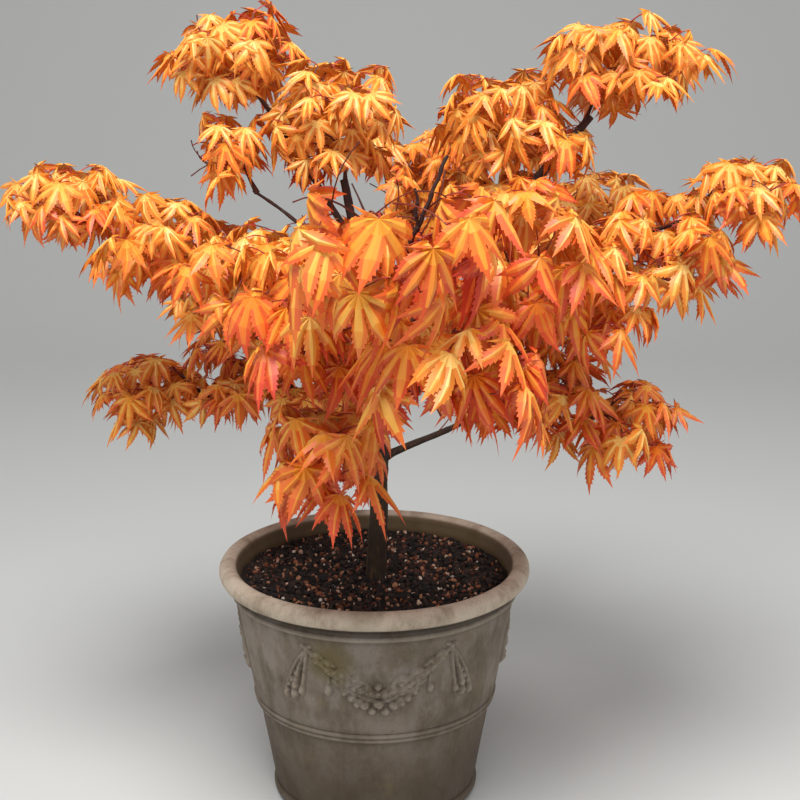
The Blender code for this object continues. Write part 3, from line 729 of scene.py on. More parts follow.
# name, middle and half-sizes of the space, the limb that the bough leaves, how far along that limb, the
# bough's radius there, the height of its arch, and how many twig ends the solid has
Mass = namedtuple("Mass", "name middle half limb along thick arch tips")
MASS_TABLE = (
    ("crown_left", (-0.050, 0.050, 0.865), (0.115, 0.12, 0.095), "trunk", 0.97, 0.0088, 0.00, 7),
    ("crown_right", (0.310, 0.050, 0.925), (0.125, 0.12, 0.080), "trunk", 0.96, 0.0085, 0.00, 7),
    ("left_wing", (-0.255, 0.000, 0.710), (0.110, 0.13, 0.085), "trunk", 0.80, 0.0065, 0.03, 6),
    ("right_wing", (0.345, -0.050, 0.715), (0.100, 0.13, 0.095), "trunk", 0.84, 0.0065, 0.02, 6),
    ("front_high", (0.020, -0.370, 0.785), (0.130, 0.13, 0.110), "trunk", 0.90, 0.0070, 0.02, 8),
    ("back_middle", (0.065, 0.320, 0.760), (0.130, 0.12, 0.095), "trunk", 0.89, 0.0070, 0.02, 6),
    ("low_left", (-0.170, 0.150, 0.535), (0.110, 0.12, 0.070), "trunk", 0.58, 0.0055, 0.02, 5),
    ("low_right", (0.210, -0.060, 0.560), (0.105, 0.12, 0.070), "trunk", 0.54, 0.0050, 0.00, 5),
    ("front_low", (0.080, -0.330, 0.630), (0.120, 0.12, 0.090), "trunk", 0.71, 0.0058, 0.02, 6),
    ("back_left", (-0.190, 0.285, 0.620), (0.135, 0.13, 0.090), "trunk", 0.77, 0.0060, 0.02, 6),
    ("back_right", (0.275, 0.270, 0.710), (0.135, 0.13, 0.090), "trunk", 0.78, 0.0060, 0.02, 6),
    ("back_low", (0.130, 0.300, 0.560), (0.135, 0.12, 0.085), "trunk", 0.66, 0.0050, 0.02, 6),
    ("front_hanging", (-0.048, -0.235, 0.515), (0.070, 0.09, 0.110), "trunk", 0.63, 0.0045, 0.07, 5),
    ("crown_tip", (-0.165, 0.060, 0.940), (0.110, 0.12, 0.085), "crown_left", 0.62, 0.0045, 0.00, 6),
    ("crown_drop", (-0.195, 0.020, 0.815), (0.080, 0.12, 0.070), "crown_left", 0.45, 0.0032, 0.02, 4),
    ("crown_middle", (0.165, 0.080, 0.850), (0.125, 0.12, 0.095), "crown_right", 0.38, 0.0050, 0.00, 6),
    ("left_inner", (-0.145, -0.090, 0.690), (0.105, 0.12, 0.095), "left_wing", 0.45, 0.0042, 0.01, 5),
    ("left_wing_tip", (-0.365, 0.000, 0.760), (0.100, 0.12, 0.065), "left_wing", 0.60, 0.0036, 0.05, 5),
    ("right_inner", (0.245, -0.110, 0.680), (0.100, 0.12, 0.095), "right_wing", 0.45, 0.0042, 0.01, 5),
    ("right_wing_tip", (0.440, -0.050, 0.775), (0.080, 0.12, 0.065), "right_wing", 0.66, 0.0036, 0.05, 5),
    ("front_left", (-0.060, -0.235, 0.665), (0.095, 0.11, 0.100), "front_high", 0.42, 0.0042, 0.00, 6),
    ("front_right", (0.160, -0.220, 0.730), (0.090, 0.11, 0.100), "front_high", 0.38, 0.0042, 0.00, 5),
    ("low_left_tip", (-0.300, 0.150, 0.485), (0.110, 0.12, 0.070), "low_left", 0.75, 0.0030, 0.01, 5),
    ("low_right_tip", (0.305, -0.060, 0.495), (0.085, 0.11, 0.070), "low_right", 0.75, 0.0030, 0.01, 5),
)
MASSES = [Mass(*row) for row in MASS_TABLE]


def limb_path(start, bend, goal, mass):
    """The curve from start towards goal, cut where it enters the mass, as LIMB_RINGS points."""
    whole = curve(start, bend, goal, np.linspace(0, 1, CURVE_STEPS)[:, None])
    depth = norm((whole - mass.middle) / mass.half, axis=1)
    stop = int((depth < BOUGH_ENDS_AT).argmax())
    return read_at(np.linspace(0, stop, LIMB_RINGS), np.arange(CURVE_STEPS), whole)


def point_at(path, radii, share):
    """The point and radius at a share of a limb's length."""
    way = along_path(path) / along_path(path)[-1]
    return read_at(share, way, path), np.interp(share, way, radii)


def make_limbs():
    """(path, radii) of the trunk and of every bough, by name."""
    share = np.linspace(0, 1, LIMB_RINGS)
    rise = share * (TRUNK_TOP - TRUNK_FOOT)[2]
    flare = FLARE * np.exp(-rise / FLARE_HEIGHT)
    path = TRUNK_FOOT + share[:, None] * (TRUNK_TOP - TRUNK_FOOT)
    limbs = {"trunk": (path, TRUNK_RADIUS + (TRUNK_TOP_RADIUS - TRUNK_RADIUS) * share + flare)}
    for mass in MASSES:
        start, room = point_at(*limbs[mass.limb], mass.along)
        middle = np.array(mass.middle)
        bend = start + (middle - start) * 0.5 + (0, 0, mass.arch)
        thick = min(mass.thick, room * 0.85)
        limbs[mass.name] = (limb_path(start, bend, middle, mass), thick * (1 - (1 - BOUGH_TAPER) * share))
    return limbs


LIMBS = make_limbs()
print("limbs:", {name: round(float(along_path(path)[-1]), 3) for name, (path, _) in LIMBS.items()})


# %% The bark's surface
LOW_BARK = (0.32, (28, 16, 7)), (0.52, (54, 35, 15)), (0.70, (90, 65, 36))
HIGH_BARK = (0.32, (34, 15, 12)), (0.52, (58, 27, 20)), (0.72, (92, 48, 34))
LICHEN, GROOVE = (82, 72, 52), (26, 16, 12)


def bark():
    """Dark smooth bark: greyish brown and ridged low down, reddish and finer on the boughs."""
    look = Finish("bark", 0.75)
    streak = look.noise(260, 5, 0.65, 0.22)
    share = look.span(look.height(), 0.40, 0.66)
    colour = look.stain(
        look.mix(share, look.ramp(streak, *LOW_BARK), look.ramp(streak, *HIGH_BARK)),
        (look.noise(34, 4, 0.6), 0.58, 0.70, 0.5, LICHEN),
        (look.value("ridge"), 0.1, -0.9, 0.6, GROOVE),
    )
    look.join("Roughness", look.span(streak, 0.3, 0.7, 0.62, 0.85))
    return look.close(colour, look.noise(620, 4, 0.7, 0.3), 0.5, 0.0006)


def limb_relief(paths, radii):
    """The radius at every side of every ring, and the ridges' height from -1 to 1.

    Ridges run along the limb: they are sin(k * angle + slow wave). Low rings stand out where buds once sat,
    every 30 to 50 mm, and the root of each bough spreads into its parent as 1 + 0.5 * exp(-distance / 9 mm).
    """
    angle = around(LIMB_SIDES)[None, None, :]
    length = np.array([along_path(path) for path in paths])[:, :, None]
    slow = 1.4 * waves(paths, 0.06, seed=31)[:, :, None]
    number = np.arange(len(paths))[:, None, None]
    ridge = 0.6 * np.sin(5 * angle + slow + number) + 0.4 * np.sin(8 * angle - 2 * slow + 2 * number)
    scar = np.exp(-((np.mod(length + 0.011 * number, 0.041) - 0.02) ** 2) / 0.0022**2)
    spread = 0.5 * np.exp(-np.maximum(length - 0.010, 0) / 0.009) * (number > 0)
    roots = 0.10 * np.exp(-length / 0.012) * np.maximum(np.sin(3 * angle + 0.6), 0) * (number == 0)
    size = radii[:, :, None] * (1 + 0.035 * ridge + 0.10 * scar + spread + roots)
    return size + 0.0003 * waves(paths, 0.02, seed=32)[:, :, None], ridge


def wander(paths):
    """A small bend off the true line, none at either end: 2.2 mm * sin(pi * share) * wave."""
    share = np.linspace(0, 1, paths.shape[1])[None, :, None]
    sway = np.stack([waves(paths, 0.09, seed=33 + axis) for axis in range(3)], axis=-1)
    return paths + 0.0022 * np.sin(math.pi * share) * sway


limb_paths = wander(np.array([path for path, _ in LIMBS.values()]))
limb_radii = np.array([radii for _, radii in LIMBS.values()])
trunk_end = np.clip(np.linspace(-40, 1, LIMB_RINGS), 0, 1)
limb_radii[0] *= np.sqrt(1 - trunk_end**2 * 0.9)  # rounds the trunk off at its top
relief, ridges = limb_relief(limb_paths, limb_radii)
wood = add_piece(
    "trunk_and_boughs",
    tubes(limb_paths, relief, LIMB_SIDES),
    tube_faces(len(limb_paths), LIMB_RINGS, LIMB_SIDES),
    [bark()],
    values={"ridge": np.broadcast_to(ridges, relief.shape)},
    crease=60,
)
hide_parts("trunk", *["bough_" + mass.name for mass in MASSES])

# %% [markdown]
# ## Twigs
#
# Twigs fill each mass by one rule. Points are picked in the space, each next one the furthest from all those
# before it. A stem runs to the nearest, and every further point is reached from the fork that costs least in
# length, turn and crowding. The solids stop after a few points. Here the same list is carried on, so the
# first twigs are the solids' own and finer ones fill the gaps between them. A fine twig sets out the way its
# parent was heading and bends to its end, on the same kind of curve as a bough.

# %% [markdown]
# ### Where the sky shows
#
# The crown is open in places: above the left wing, where the dark stems can be followed, and under the right
# side, round the lowest bough. Each opening is a shaft that runs from front to back, narrowing towards the
# viewer's eye, and it is given by the ellipse in which it crosses the upright plane y = 0. No leaf and no
# fine twig may end inside it. The front of the crown also keeps below the stems that show behind it.

# %% Openings
# Across, height, half the width and half the height, on the plane y = 0.
OPENINGS = np.array(
    (
        (-0.125, 0.780, 0.041, 0.028), (-0.021, 0.780, 0.037, 0.024), (-0.243, 0.826, 0.039, 0.040),
        (0.063, 0.487, 0.030, 0.055), (0.148, 0.434, 0.096, 0.047), (0.055, 0.903, 0.024, 0.043),
        (-0.024, 0.990, 0.073, 0.039), (-0.255, 0.995, 0.040, 0.034),
    )
)
FRONT_FROM = -0.15  # what lies in front of this
FRONT_TOP = 0.812  # stays below this height, as seen on the plane y = 0


def seen_at(points):
    """Where the line from the eye through each point p meets the plane y = 0, as (x, z).

    It is eye + (p - eye) * (0 - eye_y) / (p_y - eye_y).
    """
    away = np.asarray(points) - EYE
    return (np.array(EYE) + away * (-EYE[1] / away[..., 1:2]))[..., (0, 2)]


def in_opening(points, part=1.0):
    """Whether each point lies in an opening, or in its middle part, or above the front's top."""
    seen = seen_at(points)
    away = (seen[..., None, :] - OPENINGS[:, :2]) / OPENINGS[:, 2:]
    above = (np.asarray(points)[..., 1] < FRONT_FROM) & (seen[..., 1] > FRONT_TOP)
    return (norm(away, axis=-1) < part).any(axis=-1) | above


# %% Spread the twig ends
TIP_INSET, TIP_LIFT = 0.030, 0.020
STEM_COLLAR, STEM_RADIUS = 0.004, 0.0030
TWIG_TAPER, LEAST_RADIUS = 0.72, 0.0009
TWIG_FORKS = (0.5, 1.0)  # shares of a twig's length
CROWDING = 0.02  # metres for each twig that leaves a fork already
FINER = 3.0  # twig ends for each one that the solid has
TRIALS = 900


def inside_by(mass, points):
    """How far inside the mass's ellipsoid each point lies, in metres, negative outside."""
    half = np.array(mass.half)
    return (1 - norm((points - mass.middle) / half, axis=-1)) * half.min()


def short_of_neighbours(mass, points):
    """How far each point lies from the nearest border plane, negative past it.

    The border is where the squared distances to two middles, less the squares of the mean half-sizes, match.
    """
    others = [other for other in MASSES if other is not mass]
    middles = np.array([other.middle for other in others])
    sizes = np.array([np.mean(other.half) ** 2 for other in others])
    own = ((points - mass.middle) ** 2).sum(axis=-1) - np.mean(mass.half) ** 2
    theirs = ((points[..., None, :] - middles) ** 2).sum(axis=-1) - sizes
    apart = norm(middles - mass.middle, axis=-1)
    return ((theirs - own[..., None]) / (2 * apart)).min(axis=-1)


def spread_points(mass, start):
    """Twig ends spread evenly through the space, the solid's own ones first."""
    rng = np.random.default_rng(sum(map(ord, mass.name)))
    trial = rng.uniform(-1, 1, (TRIALS, 3)) * mass.half + mass.middle
    room = inside_by(mass, trial - (0, 0, TIP_LIFT)) > TIP_INSET
    trial = trial[room & (short_of_neighbours(mass, trial) > TIP_INSET / 2)]
    chosen = [start]
    for number in range(round(mass.tips * FINER)):
        if number == mass.tips:
            trial = trial[~in_opening(trial)]
        if not len(trial):
            break
        nearest = np.min([norm(trial - point, axis=1) for point in chosen], axis=0)
        chosen.append(trial[int(nearest.argmax())])
    return np.array(chosen[1:])


# %% Grow the twigs
class Fork:
    """A place where twigs may leave: its point, heading, radius, distance from the stem's foot and twigs."""

    def __init__(self, point, heading, radius, length):
        self.point, self.heading, self.radius, self.length = point, heading, radius, length
        self.twigs = 0


def forks_of(start, heading, end, radii, length):
    """The forks half way along a twig and at its end."""
    way, thinner = end - start, radii[1] - radii[0]
    return [
        Fork(start + share * way, heading, radii[0] + share * thinner, length + share * norm(way))
        for share in TWIG_FORKS
    ]


def fork_cost(fork, end):
    """The way to the end, a quarter of the way before it, a sharp turn and the twigs that leave already."""
    reach = norm(end - fork.point)
    turn = 1 - np.dot(end - fork.point, fork.heading) / reach
    return reach + 0.25 * fork.length + 0.06 * turn + CROWDING * fork.twigs


def grow_mass(mass):
    """Twigs of one mass, each as (start, heading at the start, end, radius at the start, order)."""
    path, _ = LIMBS[mass.name]
    start = path[-1]
    heading = unit(path[-1] - path[-2])
    ends = spread_points(mass, start)
    own, finer = ends[: mass.tips], ends[mass.tips :]
    own = own[np.argsort(norm(own - start, axis=1))]
    collar = start + heading * STEM_COLLAR
    twigs = [(path[-3], heading, own[0], STEM_RADIUS, 0)]
    forks = forks_of(collar, unit(own[0] - collar), own[0], (STEM_RADIUS, LEAST_RADIUS * 1.4), 0.0)
    for number, end in enumerate(np.concatenate([own[1:], finer])):
        fork = min(forks, key=lambda f: fork_cost(f, end))
        fork.twigs += 1
        radius = max(fork.radius * TWIG_TAPER, LEAST_RADIUS)
        twigs.append((fork.point, fork.heading, end, radius, 1 if number < len(own) - 1 else 2))
        forks += forks_of(fork.point, unit(end - fork.point), end, (radius, LEAST_RADIUS), fork.length)
    return twigs


TWIGS = {mass.name: grow_mass(mass) for mass in MASSES}
print("twigs:", sum(map(len, TWIGS.values())))


# %% Twig surfaces
TWIG_RINGS, TWIG_SIDES = 7, 5
TWIG_BEND = 0.22  # how far a twig holds on to its parent's heading


def twig_paths(twigs):
    """Curves (n, rings, 3) from fork to end, that leave along the parent's heading and droop at the tip."""
    start, heading, end = (np.array([twig[k] for twig in twigs]) for k in range(3))
    reach = norm(end - start, axis=1, keepdims=True)
    bend = start + 0.45 * (end - start) + TWIG_BEND * reach * heading + (0, 0, 0.05) * reach
    return curve(start[:, None], bend[:, None], end[:, None], np.linspace(0, 1, TWIG_RINGS)[None, :, None])


def twig_radii(twigs):
    """From the radius at the fork, slightly swollen there, to a fine end with a bud on it."""
    first = np.array([twig[3] for twig in twigs])[:, None]
    t = np.linspace(0, 1, TWIG_RINGS)[None, :]
    swollen = 1 + 0.35 * np.exp(-t / 0.06)
    bud = 1 + 0.5 * np.exp(-(((t - 0.97) / 0.05) ** 2))
    return (first + (LEAST_RADIUS * 0.75 - first) * t**0.8) * swollen * bud


SHOOT_SHARES = (0.50, 0.66, 0.82)
SHOOT_LENGTH = (0.026, 0.048)
SHOOT_OVERHANG = 0.055


def side_shoots(mass):
    """Short shoots in opposite pairs on the outer half of a mass's bough, as grow_mass gives its twigs."""
    rng = random.Random("shoots " + mass.name)
    path, radii = LIMBS[mass.name]
    shoots = []
    for share in SHOOT_SHARES:
        point, _ = point_at(path, radii, share)
        heading = unit(point_at(path, radii, share + 0.05)[0] - point)
        across = unit(np.cross(heading, (0, 0, 1)))
        for side in (-1, 1):
            way = heading * rng.uniform(0.3, 0.8) + side * across + np.array((0, 0, rng.uniform(0.1, 0.7)))
            end = point + unit(way) * rng.uniform(*SHOOT_LENGTH)
            if not in_opening(end, 1.2):
                shoots.append((point, heading, end, LEAST_RADIUS, 2))
    return shoots


all_twigs = [twig for mass in MASSES for twig in TWIGS[mass.name]]
SHOOTS = [side_shoots(mass) for mass in MASSES]
SHOOT_OWNERS = np.repeat(np.arange(len(MASSES)), [len(shoots) for shoots in SHOOTS])
all_twigs += [shoot for shoots in SHOOTS for shoot in shoots]
paths = twig_paths(all_twigs)
shoot_paths = paths[-len(SHOOT_OWNERS) :]
orders = np.array([twig[4] for twig in all_twigs])
quads, ends = tube_faces(len(paths), TWIG_RINGS, TWIG_SIDES)
tints = np.concatenate([np.repeat(orders, len(quads) // len(paths)), np.repeat(orders, 2)])
TWIG_BARK = [
    plain("twig_bark_old", (72, 34, 26), 0.6),
    plain("twig_bark_young", (96, 40, 30), 0.55),
    plain("twig_bark_new", (128, 46, 34), 0.5),
]
twig_surface = tubes(paths, twig_radii(all_twigs), TWIG_SIDES)
twig_piece = add_piece("twigs", twig_surface, [quads, ends], TWIG_BARK, tints=tints, crease=60)
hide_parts(*["foliage_" + mass.name for mass in MASSES])

# %% [markdown]
# One old shoot stands up bare out of the front of the crown. It is darker and thicker than the twigs round
# it, bends at each bud scar, and forks once near its foot. Its radius swells at the scars:
# radius * (1 + 0.45 * exp(-(distance to the nearest scar / 1.3 mm)^2)).

# %% The bare shoot
SHOOT_RINGS, SHOOT_SIDES = 40, 8
SCARS_APART = 0.0125
BARE_SHOOTS = np.array(  # four points that each part runs through
    (
        ((0.034, -0.333, 0.720), (0.039, -0.348, 0.768), (0.054, -0.352, 0.800), (0.079, -0.350, 0.863)),
        ((0.050, -0.352, 0.792), (0.049, -0.355, 0.806), (0.050, -0.357, 0.818), (0.048, -0.358, 0.832)),
    )
)
SHOOT_ENDS = ((0.0031, 0.0017), (0.0020, 0.0012))  # the radius at either end of each part


def bare_shoots():
    """Paths (n, rings, 3) and radii (n, rings) of the shoots, bent a little at every second scar."""
    t = np.linspace(0, 1, SHOOT_RINGS)
    shoots = np.array([read_at(t, np.linspace(0, 1, 4), corners) for corners in BARE_SHOOTS])
    way = np.array([along_path(path) for path in shoots])
    scar = np.abs(np.mod(way + 0.006, SCARS_APART) - SCARS_APART / 2)
    radii = np.array([np.interp(t, (0, 1), ends) for ends in SHOOT_ENDS])
    sway = 0.0007 * np.sin(math.pi * way / SCARS_APART)[..., None] * np.array((1.0, 0.3, 0.0))
    return shoots + sway, radii * (1 + 0.45 * np.exp(-((scar / 0.0013) ** 2)))


shoot_lines, shoot_radii = bare_shoots()
shoot_faces = tube_faces(len(shoot_lines), SHOOT_RINGS, SHOOT_SIDES)
shoot_surface = tubes(shoot_lines, shoot_radii, SHOOT_SIDES)
shoot_bark = plain("old_shoot_bark", (52, 26, 22), 0.7)
add_piece("bare_shoot", shoot_surface, shoot_faces, [shoot_bark], crease=50)

# %% [markdown]
# ## Leaves
#
# A leaf is a hand of seven lobes on a fine red stalk. The lobes are joined round the heart as far as the
# notches. Past them each is a long blade with a toothed edge, widest a third of the way out and then drawn to
# a fine tip. A thin flat mesh would do for it, but a real leaf is limp and folded: each lobe's midrib stands
# up as a ridge, the notches lie low, the lobes bow down and the sides hang round the middle. One flat pattern
# holds the outline and the ridges as shares of the leaf's size. Every leaf on the tree is that pattern with
# its own size, width, fold, arch and wrap, worked out for all leaves at once.

# %% The leaf's pattern
# Each lobe's angle, length and half width, outwards from the middle one.
LOBES = ((0, 1.00, 0.104), (36, 0.93, 0.100), (72, 0.74, 0.086), (108, 0.44, 0.0))
NOTCHES = (0.22, 0.20, 0.15, 0.08)  # how far out the notch after each lobe lies
HALF_GAP = 18  # degrees from a lobe to its notches
LOBE_ROWS = (0.0, 0.40, 0.72)  # shares of the way from the notch to the tip
LOBE_WIDTHS = (1.0, 0.96, 0.46)
INNER_SHARE = 0.42  # where the blade ends and the toothed margin begins
RIDGE, INNER_RIDGE, TROUGH, NOTCH_TROUGH = 0.036, 0.010, -0.036, -0.050
TOOTH_OUT, TOOTH_ON = 0.034, 0.024
TEETH = ((0.28, 1), (0.38, 0), (0.60, 1), (0.71, 0), (0.92, 1))  # share from row to row, and how much tooth
BULGES = (0.016, 0.012)
HEART_ZONE, BLADE_ZONES, MARGIN_ZONE = -1.8, (-1.6, -0.8), 2.5
TIP_ZONE, SMALL_TIP_ZONE = 1.5, 0.3
Part = namedtuple("Part", "points heights blade_moves lobe_moves zones faces")


def spoke(angle, distance):
    """The point at that many degrees from the middle lobe and that far out."""
    return np.array((math.sin(math.radians(angle)), math.cos(math.radians(angle)))) * distance


def half_lobe(lobe, side):
    """One side of a lobe: rows of midrib, inner and edge points, with three teeth from row to row.

    blade_moves and lobe_moves say how far each point goes aside as the blade or the whole lobe is widened.
    """
    angle, length, width = LOBES[abs(lobe)]
    notch = NOTCHES[abs(lobe) - 1 if side * lobe < 0 else abs(lobe)]
    rows = LOBE_ROWS if width else LOBE_ROWS[:1]
    ahead = spoke(-angle if lobe < 0 else angle, 1.0)
    aside = np.array((ahead[1], -ahead[0])) * side
    none = np.zeros(2)
    points, heights = [none, ahead * length], [0.0, 0.0]
    blade_moves, lobe_moves, across = [none, none], [none, none], []
    for share, wide in zip(rows, LOBE_WIDTHS):
        middle = ahead * (notch + share * (length - notch))
        rim = middle + aside * wide * width
        if not share:
            rim = spoke((-angle if lobe < 0 else angle) + side * HALF_GAP, notch)
        across.append((rim - middle) * (share > 0))
        points += [middle, middle + (rim - middle) * INNER_SHARE, rim]
        blade_moves += [none, rim - middle, none]
        lobe_moves += [none, across[-1] * INNER_SHARE, across[-1]]
        heights += [RIDGE * wide, INNER_RIDGE * wide, (TROUGH if share else NOTCH_TROUGH) * wide]
    mid, inner, edge = (range(first, len(points), 3) for first in (2, 3, 4))
    faces, zones = [(0, edge[0], inner[0], mid[0])], [HEART_ZONE]
    tooth = aside * TOOTH_OUT + ahead * TOOTH_ON
    for row in range(len(rows) - 1):
        first = len(points)
        start, end = points[edge[row]], points[edge[row + 1]]
        for share, out in TEETH:
            bulge = aside * BULGES[row] * math.sin(math.pi * share)
            points.append(start + share * (end - start) + tooth * out + bulge)
            lobe_moves.append(across[row] + share * (across[row + 1] - across[row]))
        heights += [heights[edge[row + 1]]] * len(TEETH)
        blade_moves += [none] * len(TEETH)
        faces.append((mid[row], inner[row], inner[row + 1], mid[row + 1]))
        teeth = range(first, first + len(TEETH))
        faces.append((inner[row], edge[row], *teeth, edge[row + 1], inner[row + 1]))
        zones += [BLADE_ZONES[row], BLADE_ZONES[row] + MARGIN_ZONE]
    faces.append((mid[-1], inner[-1], edge[-1], 1))
    zones.append(TIP_ZONE if width else SMALL_TIP_ZONE)
    return Part(points, heights, blade_moves, lobe_moves, zones, [face[::side] for face in faces])


def leaf_pattern():
    """The whole leaf: points (n, 7), the lobe of each, and the faces and zones by the faces' size.

    A point's numbers are x, y, its height, and the moves of x and y as the blade and as the lobe is widened.
    """
    rows, lobe_of, index = [], [], {}
    faces, zones = {4: [], 9: []}, {4: [], 9: []}
    for lobe in range(-3, 4):
        for side in (-1, 1):
            part = half_lobe(lobe, side)
            numbers = []
            for point, *others in zip(part.points, part.heights, part.blade_moves, part.lobe_moves):
                key = tuple(np.round(point, 5))
                if key not in index:
                    index[key] = len(rows)
                    rows.append(np.hstack([point, *others]))
                    lobe_of.append(lobe + 3)
                numbers.append(index[key])
            for face, zone in zip(part.faces, part.zones):
                faces[len(face)].append([numbers[corner] for corner in face])
                zones[len(face)].append(zone)
    by_size = [np.array(faces[size]) for size in faces], [np.array(zones[size]) for size in zones]
    return np.array(rows), np.array(lobe_of), *by_size


PATTERN, LOBE_OF, LEAF_FACES, LEAF_ZONES = leaf_pattern()
print("a leaf has", len(PATTERN), "points and", sum(map(len, LEAF_FACES)), "faces")

# %% [markdown]
# ## Where the leaves hang
#
# Leaves grow in opposite pairs at the end of each twig and at the nodes behind it. Each hangs where the twig
# heads, turned somewhat outwards from the middle of its mass and from the trunk, and those below hang more
# steeply. A leaf is left out if its lobes would leave the space, if it would lie on another leaf, or if it
# would cut through a limb. Every spray has a tone of its own, from gold to red. A leaf high in its mass is
# made paler and one low in it redder and darker: that is painted light and shade.

# %% Hang the leaves
LEAF_SIZE, FRONT_EXTRA, FRONT_REACH = (0.036, 0.050), 0.028, 0.35
LEAF_OVERHANG, LEAF_UNDERHANG = 0.028, 0.008
LEAF_SPACING = 0.63  # from middle to middle, as a share of the size
PETIOLE = (0.016, 0.032)
NODES = ((-1, (27, -30)), (4, (62, -60)), (2, (68, -66)), (-1, (2,)), (5, (95, -92)))  # ring, turns
LEAF_TRIES, MOST_LEAVES = 7, 1900
SHOOT_CLEAR, LIMB_CLEAR = 0.014, 0.003
OPENING_WHOLE, OPENING_TIPS = 1.15, 0.8  # how much of an opening a leaf's body and its tips keep out of
# The last number is painted light and shade: a leaf high in its mass is paler, one low in it redder and
# darker.
OWN_TONE, SPRAY_TONE, LIGHT_AND_SHADE_TONE = 0.6, 0.65, -0.5
SWING, ROLL = 16, 15  # degrees either way from the twig's own direction, and of tilt to the side
DROOP, FRONT_DROOP, HIGH_DROOP, DROOP_SPREAD = 54, 10, -12, 15
LEAST_DROOP, MOST_DROOP = 14, 84
REACH_ANGLES = np.radians((0, 38, -38, 76, -76))
REACH_LENGTHS = np.array((1.0, 0.92, 0.92, 0.68, 0.68))[:, None]
Leaf = namedtuple("Leaf", "root apex blade normal size tone")
limb_samples = limb_paths.reshape(-1, 3)
limb_thickness = limb_radii.reshape(-1)
MIDDLES = np.array([mass.middle for mass in MASSES])
HALVES = np.array([mass.half for mass in MASSES])


def outside_all(points):
    """How far each point lies outside the nearest mass, in metres, and which mass that is."""
    depth = (1 - norm((points[:, None] - MIDDLES) / HALVES, axis=-1)) * HALVES.min(axis=1)
    return -depth.max(axis=1), depth.argmax(axis=1)


def leaf_frame(azimuth, droop, roll):
    """The blade's direction and the normal of a leaf whose middle lobe droops towards an azimuth."""
    outward, up = np.array((math.cos(azimuth), math.sin(azimuth), 0.0)), np.array((0.0, 0.0, 1.0))
    blade = outward * math.cos(droop) - up * math.sin(droop)
    normal = outward * math.sin(droop) + up * math.cos(droop)
    return blade, normal * math.cos(roll) + np.cross(blade, normal) * math.sin(roll)


def lobe_tips(leaf):
    """Where the five long lobes of a leaf end, near enough to test its reach."""
    across = np.cross(leaf.blade, leaf.normal)
    ways = np.cos(REACH_ANGLES)[:, None] * leaf.blade + np.sin(REACH_ANGLES)[:, None] * across
    return leaf.apex + leaf.size * REACH_LENGTHS * (0.96 * ways - 0.24 * REACH_LENGTHS * leaf.normal)


def hides_shoot(points):
    """Whether any of the points lies in front of the bare shoot, too near to either side of it."""
    away = seen_at(points)[:, None] - seen_at(shoot_lines[:, 8:].reshape(-1, 3))
    return bool((norm(away, axis=-1) < SHOOT_CLEAR).any())


def level(vector):
    """The vector's level part, made as long as 1."""
    return unit(vector * (1, 1, 0))


def fits(leaf, overhang, centre, centres):
    """Whether a leaf stays in its space and out of the openings, clear of the shoot, leaves and limbs."""
    tips = lobe_tips(leaf)
    beyond, nearest = outside_all(tips)
    floor = MIDDLES[nearest, 2] - HALVES[nearest, 2] - LEAF_UNDERHANG
    if beyond.max() > overhang or (tips[:, 2] < floor).any():
        return False
    if in_opening([leaf.apex, centre], OPENING_WHOLE).any() or in_opening(tips, OPENING_TIPS).any():
        return False
    if centre[1] < FRONT_FROM and hides_shoot([leaf.apex, centre, *tips]):
        return False
    if len(centres) and norm(centres - centre, axis=1).min() < LEAF_SPACING * leaf.size:
        return False
    near = norm(limb_samples[None] - np.stack([centre, *tips])[:, None], axis=2)
    return (near - limb_thickness).min() >= LIMB_CLEAR


def try_leaf(rng, mass, path, ring, turn, attempt, tone):
    """A leaf at a ring of a twig, turned by so many degrees and by more chance with each attempt."""
    point, course = path[ring], path[ring] - path[ring - 1]
    outwards = level((point - mass.middle) / mass.half) * 0.6 + level(point) * 0.5
    base = level(unit(course) + outwards)
    high = (point[2] - mass.middle[2]) / mass.half[2]
    swing = SWING * (1 + attempt / 2)
    azimuth = math.atan2(base[1], base[0]) + math.radians(turn + rng.uniform(-swing, swing))
    front = min(max(-point[1] / FRONT_REACH, 0), 1)
    droop = rng.gauss(DROOP + FRONT_DROOP * front + HIGH_DROOP * high, DROOP_SPREAD)
    droop = math.radians(min(max(droop, LEAST_DROOP), MOST_DROOP))
    blade, normal = leaf_frame(azimuth, droop, math.radians(rng.gauss(0, ROLL)))
    stalk = rng.uniform(*PETIOLE)
    apex = point + stalk * (level(blade) * 0.9 + np.array((0, 0, rng.uniform(-0.2, 0.5))))
    size = rng.uniform(*LEAF_SIZE) + FRONT_EXTRA * front
    # Painted light and shade: paler high in the mass, redder and darker low in it.
    return Leaf(point, apex, blade, normal, size, tone + LIGHT_AND_SHADE_TONE * high + rng.gauss(0, OWN_TONE))


def hang_leaves(sprays):
    """Leaves for all twigs, node by node, from a list of (mass number, overhang allowed, path)."""
    rng = random.Random(5)
    tones = [rng.gauss(0, SPRAY_TONE) for _ in sprays]
    leaves, centres = [], np.empty((0, 3))
    for ring, turns_ in NODES:
        for turn in turns_:
            for (number, overhang, path), tone in zip(sprays, tones):
                if len(leaves) >= MOST_LEAVES:
                    return leaves
                for attempt in range(LEAF_TRIES):
                    leaf = try_leaf(rng, MASSES[number], path, ring, turn, attempt, tone)
                    centre = leaf.apex + 0.45 * leaf.size * leaf.blade
                    if fits(leaf, overhang, centre, centres):
                        leaves.append(leaf)
                        centres = np.vstack([centres, centre])
                        break
    return leaves


twig_owner = np.concatenate([np.full(len(TWIGS[mass.name]), number) for number, mass in enumerate(MASSES)])
sprays = [(int(owner), LEAF_OVERHANG, path) for owner, path in zip(twig_owner, paths)]
sprays += [(number, SHOOT_OVERHANG, path) for number, path in zip(SHOOT_OWNERS, shoot_paths)]
LEAVES = hang_leaves(sprays)
print("leaves in all:", len(LEAVES))
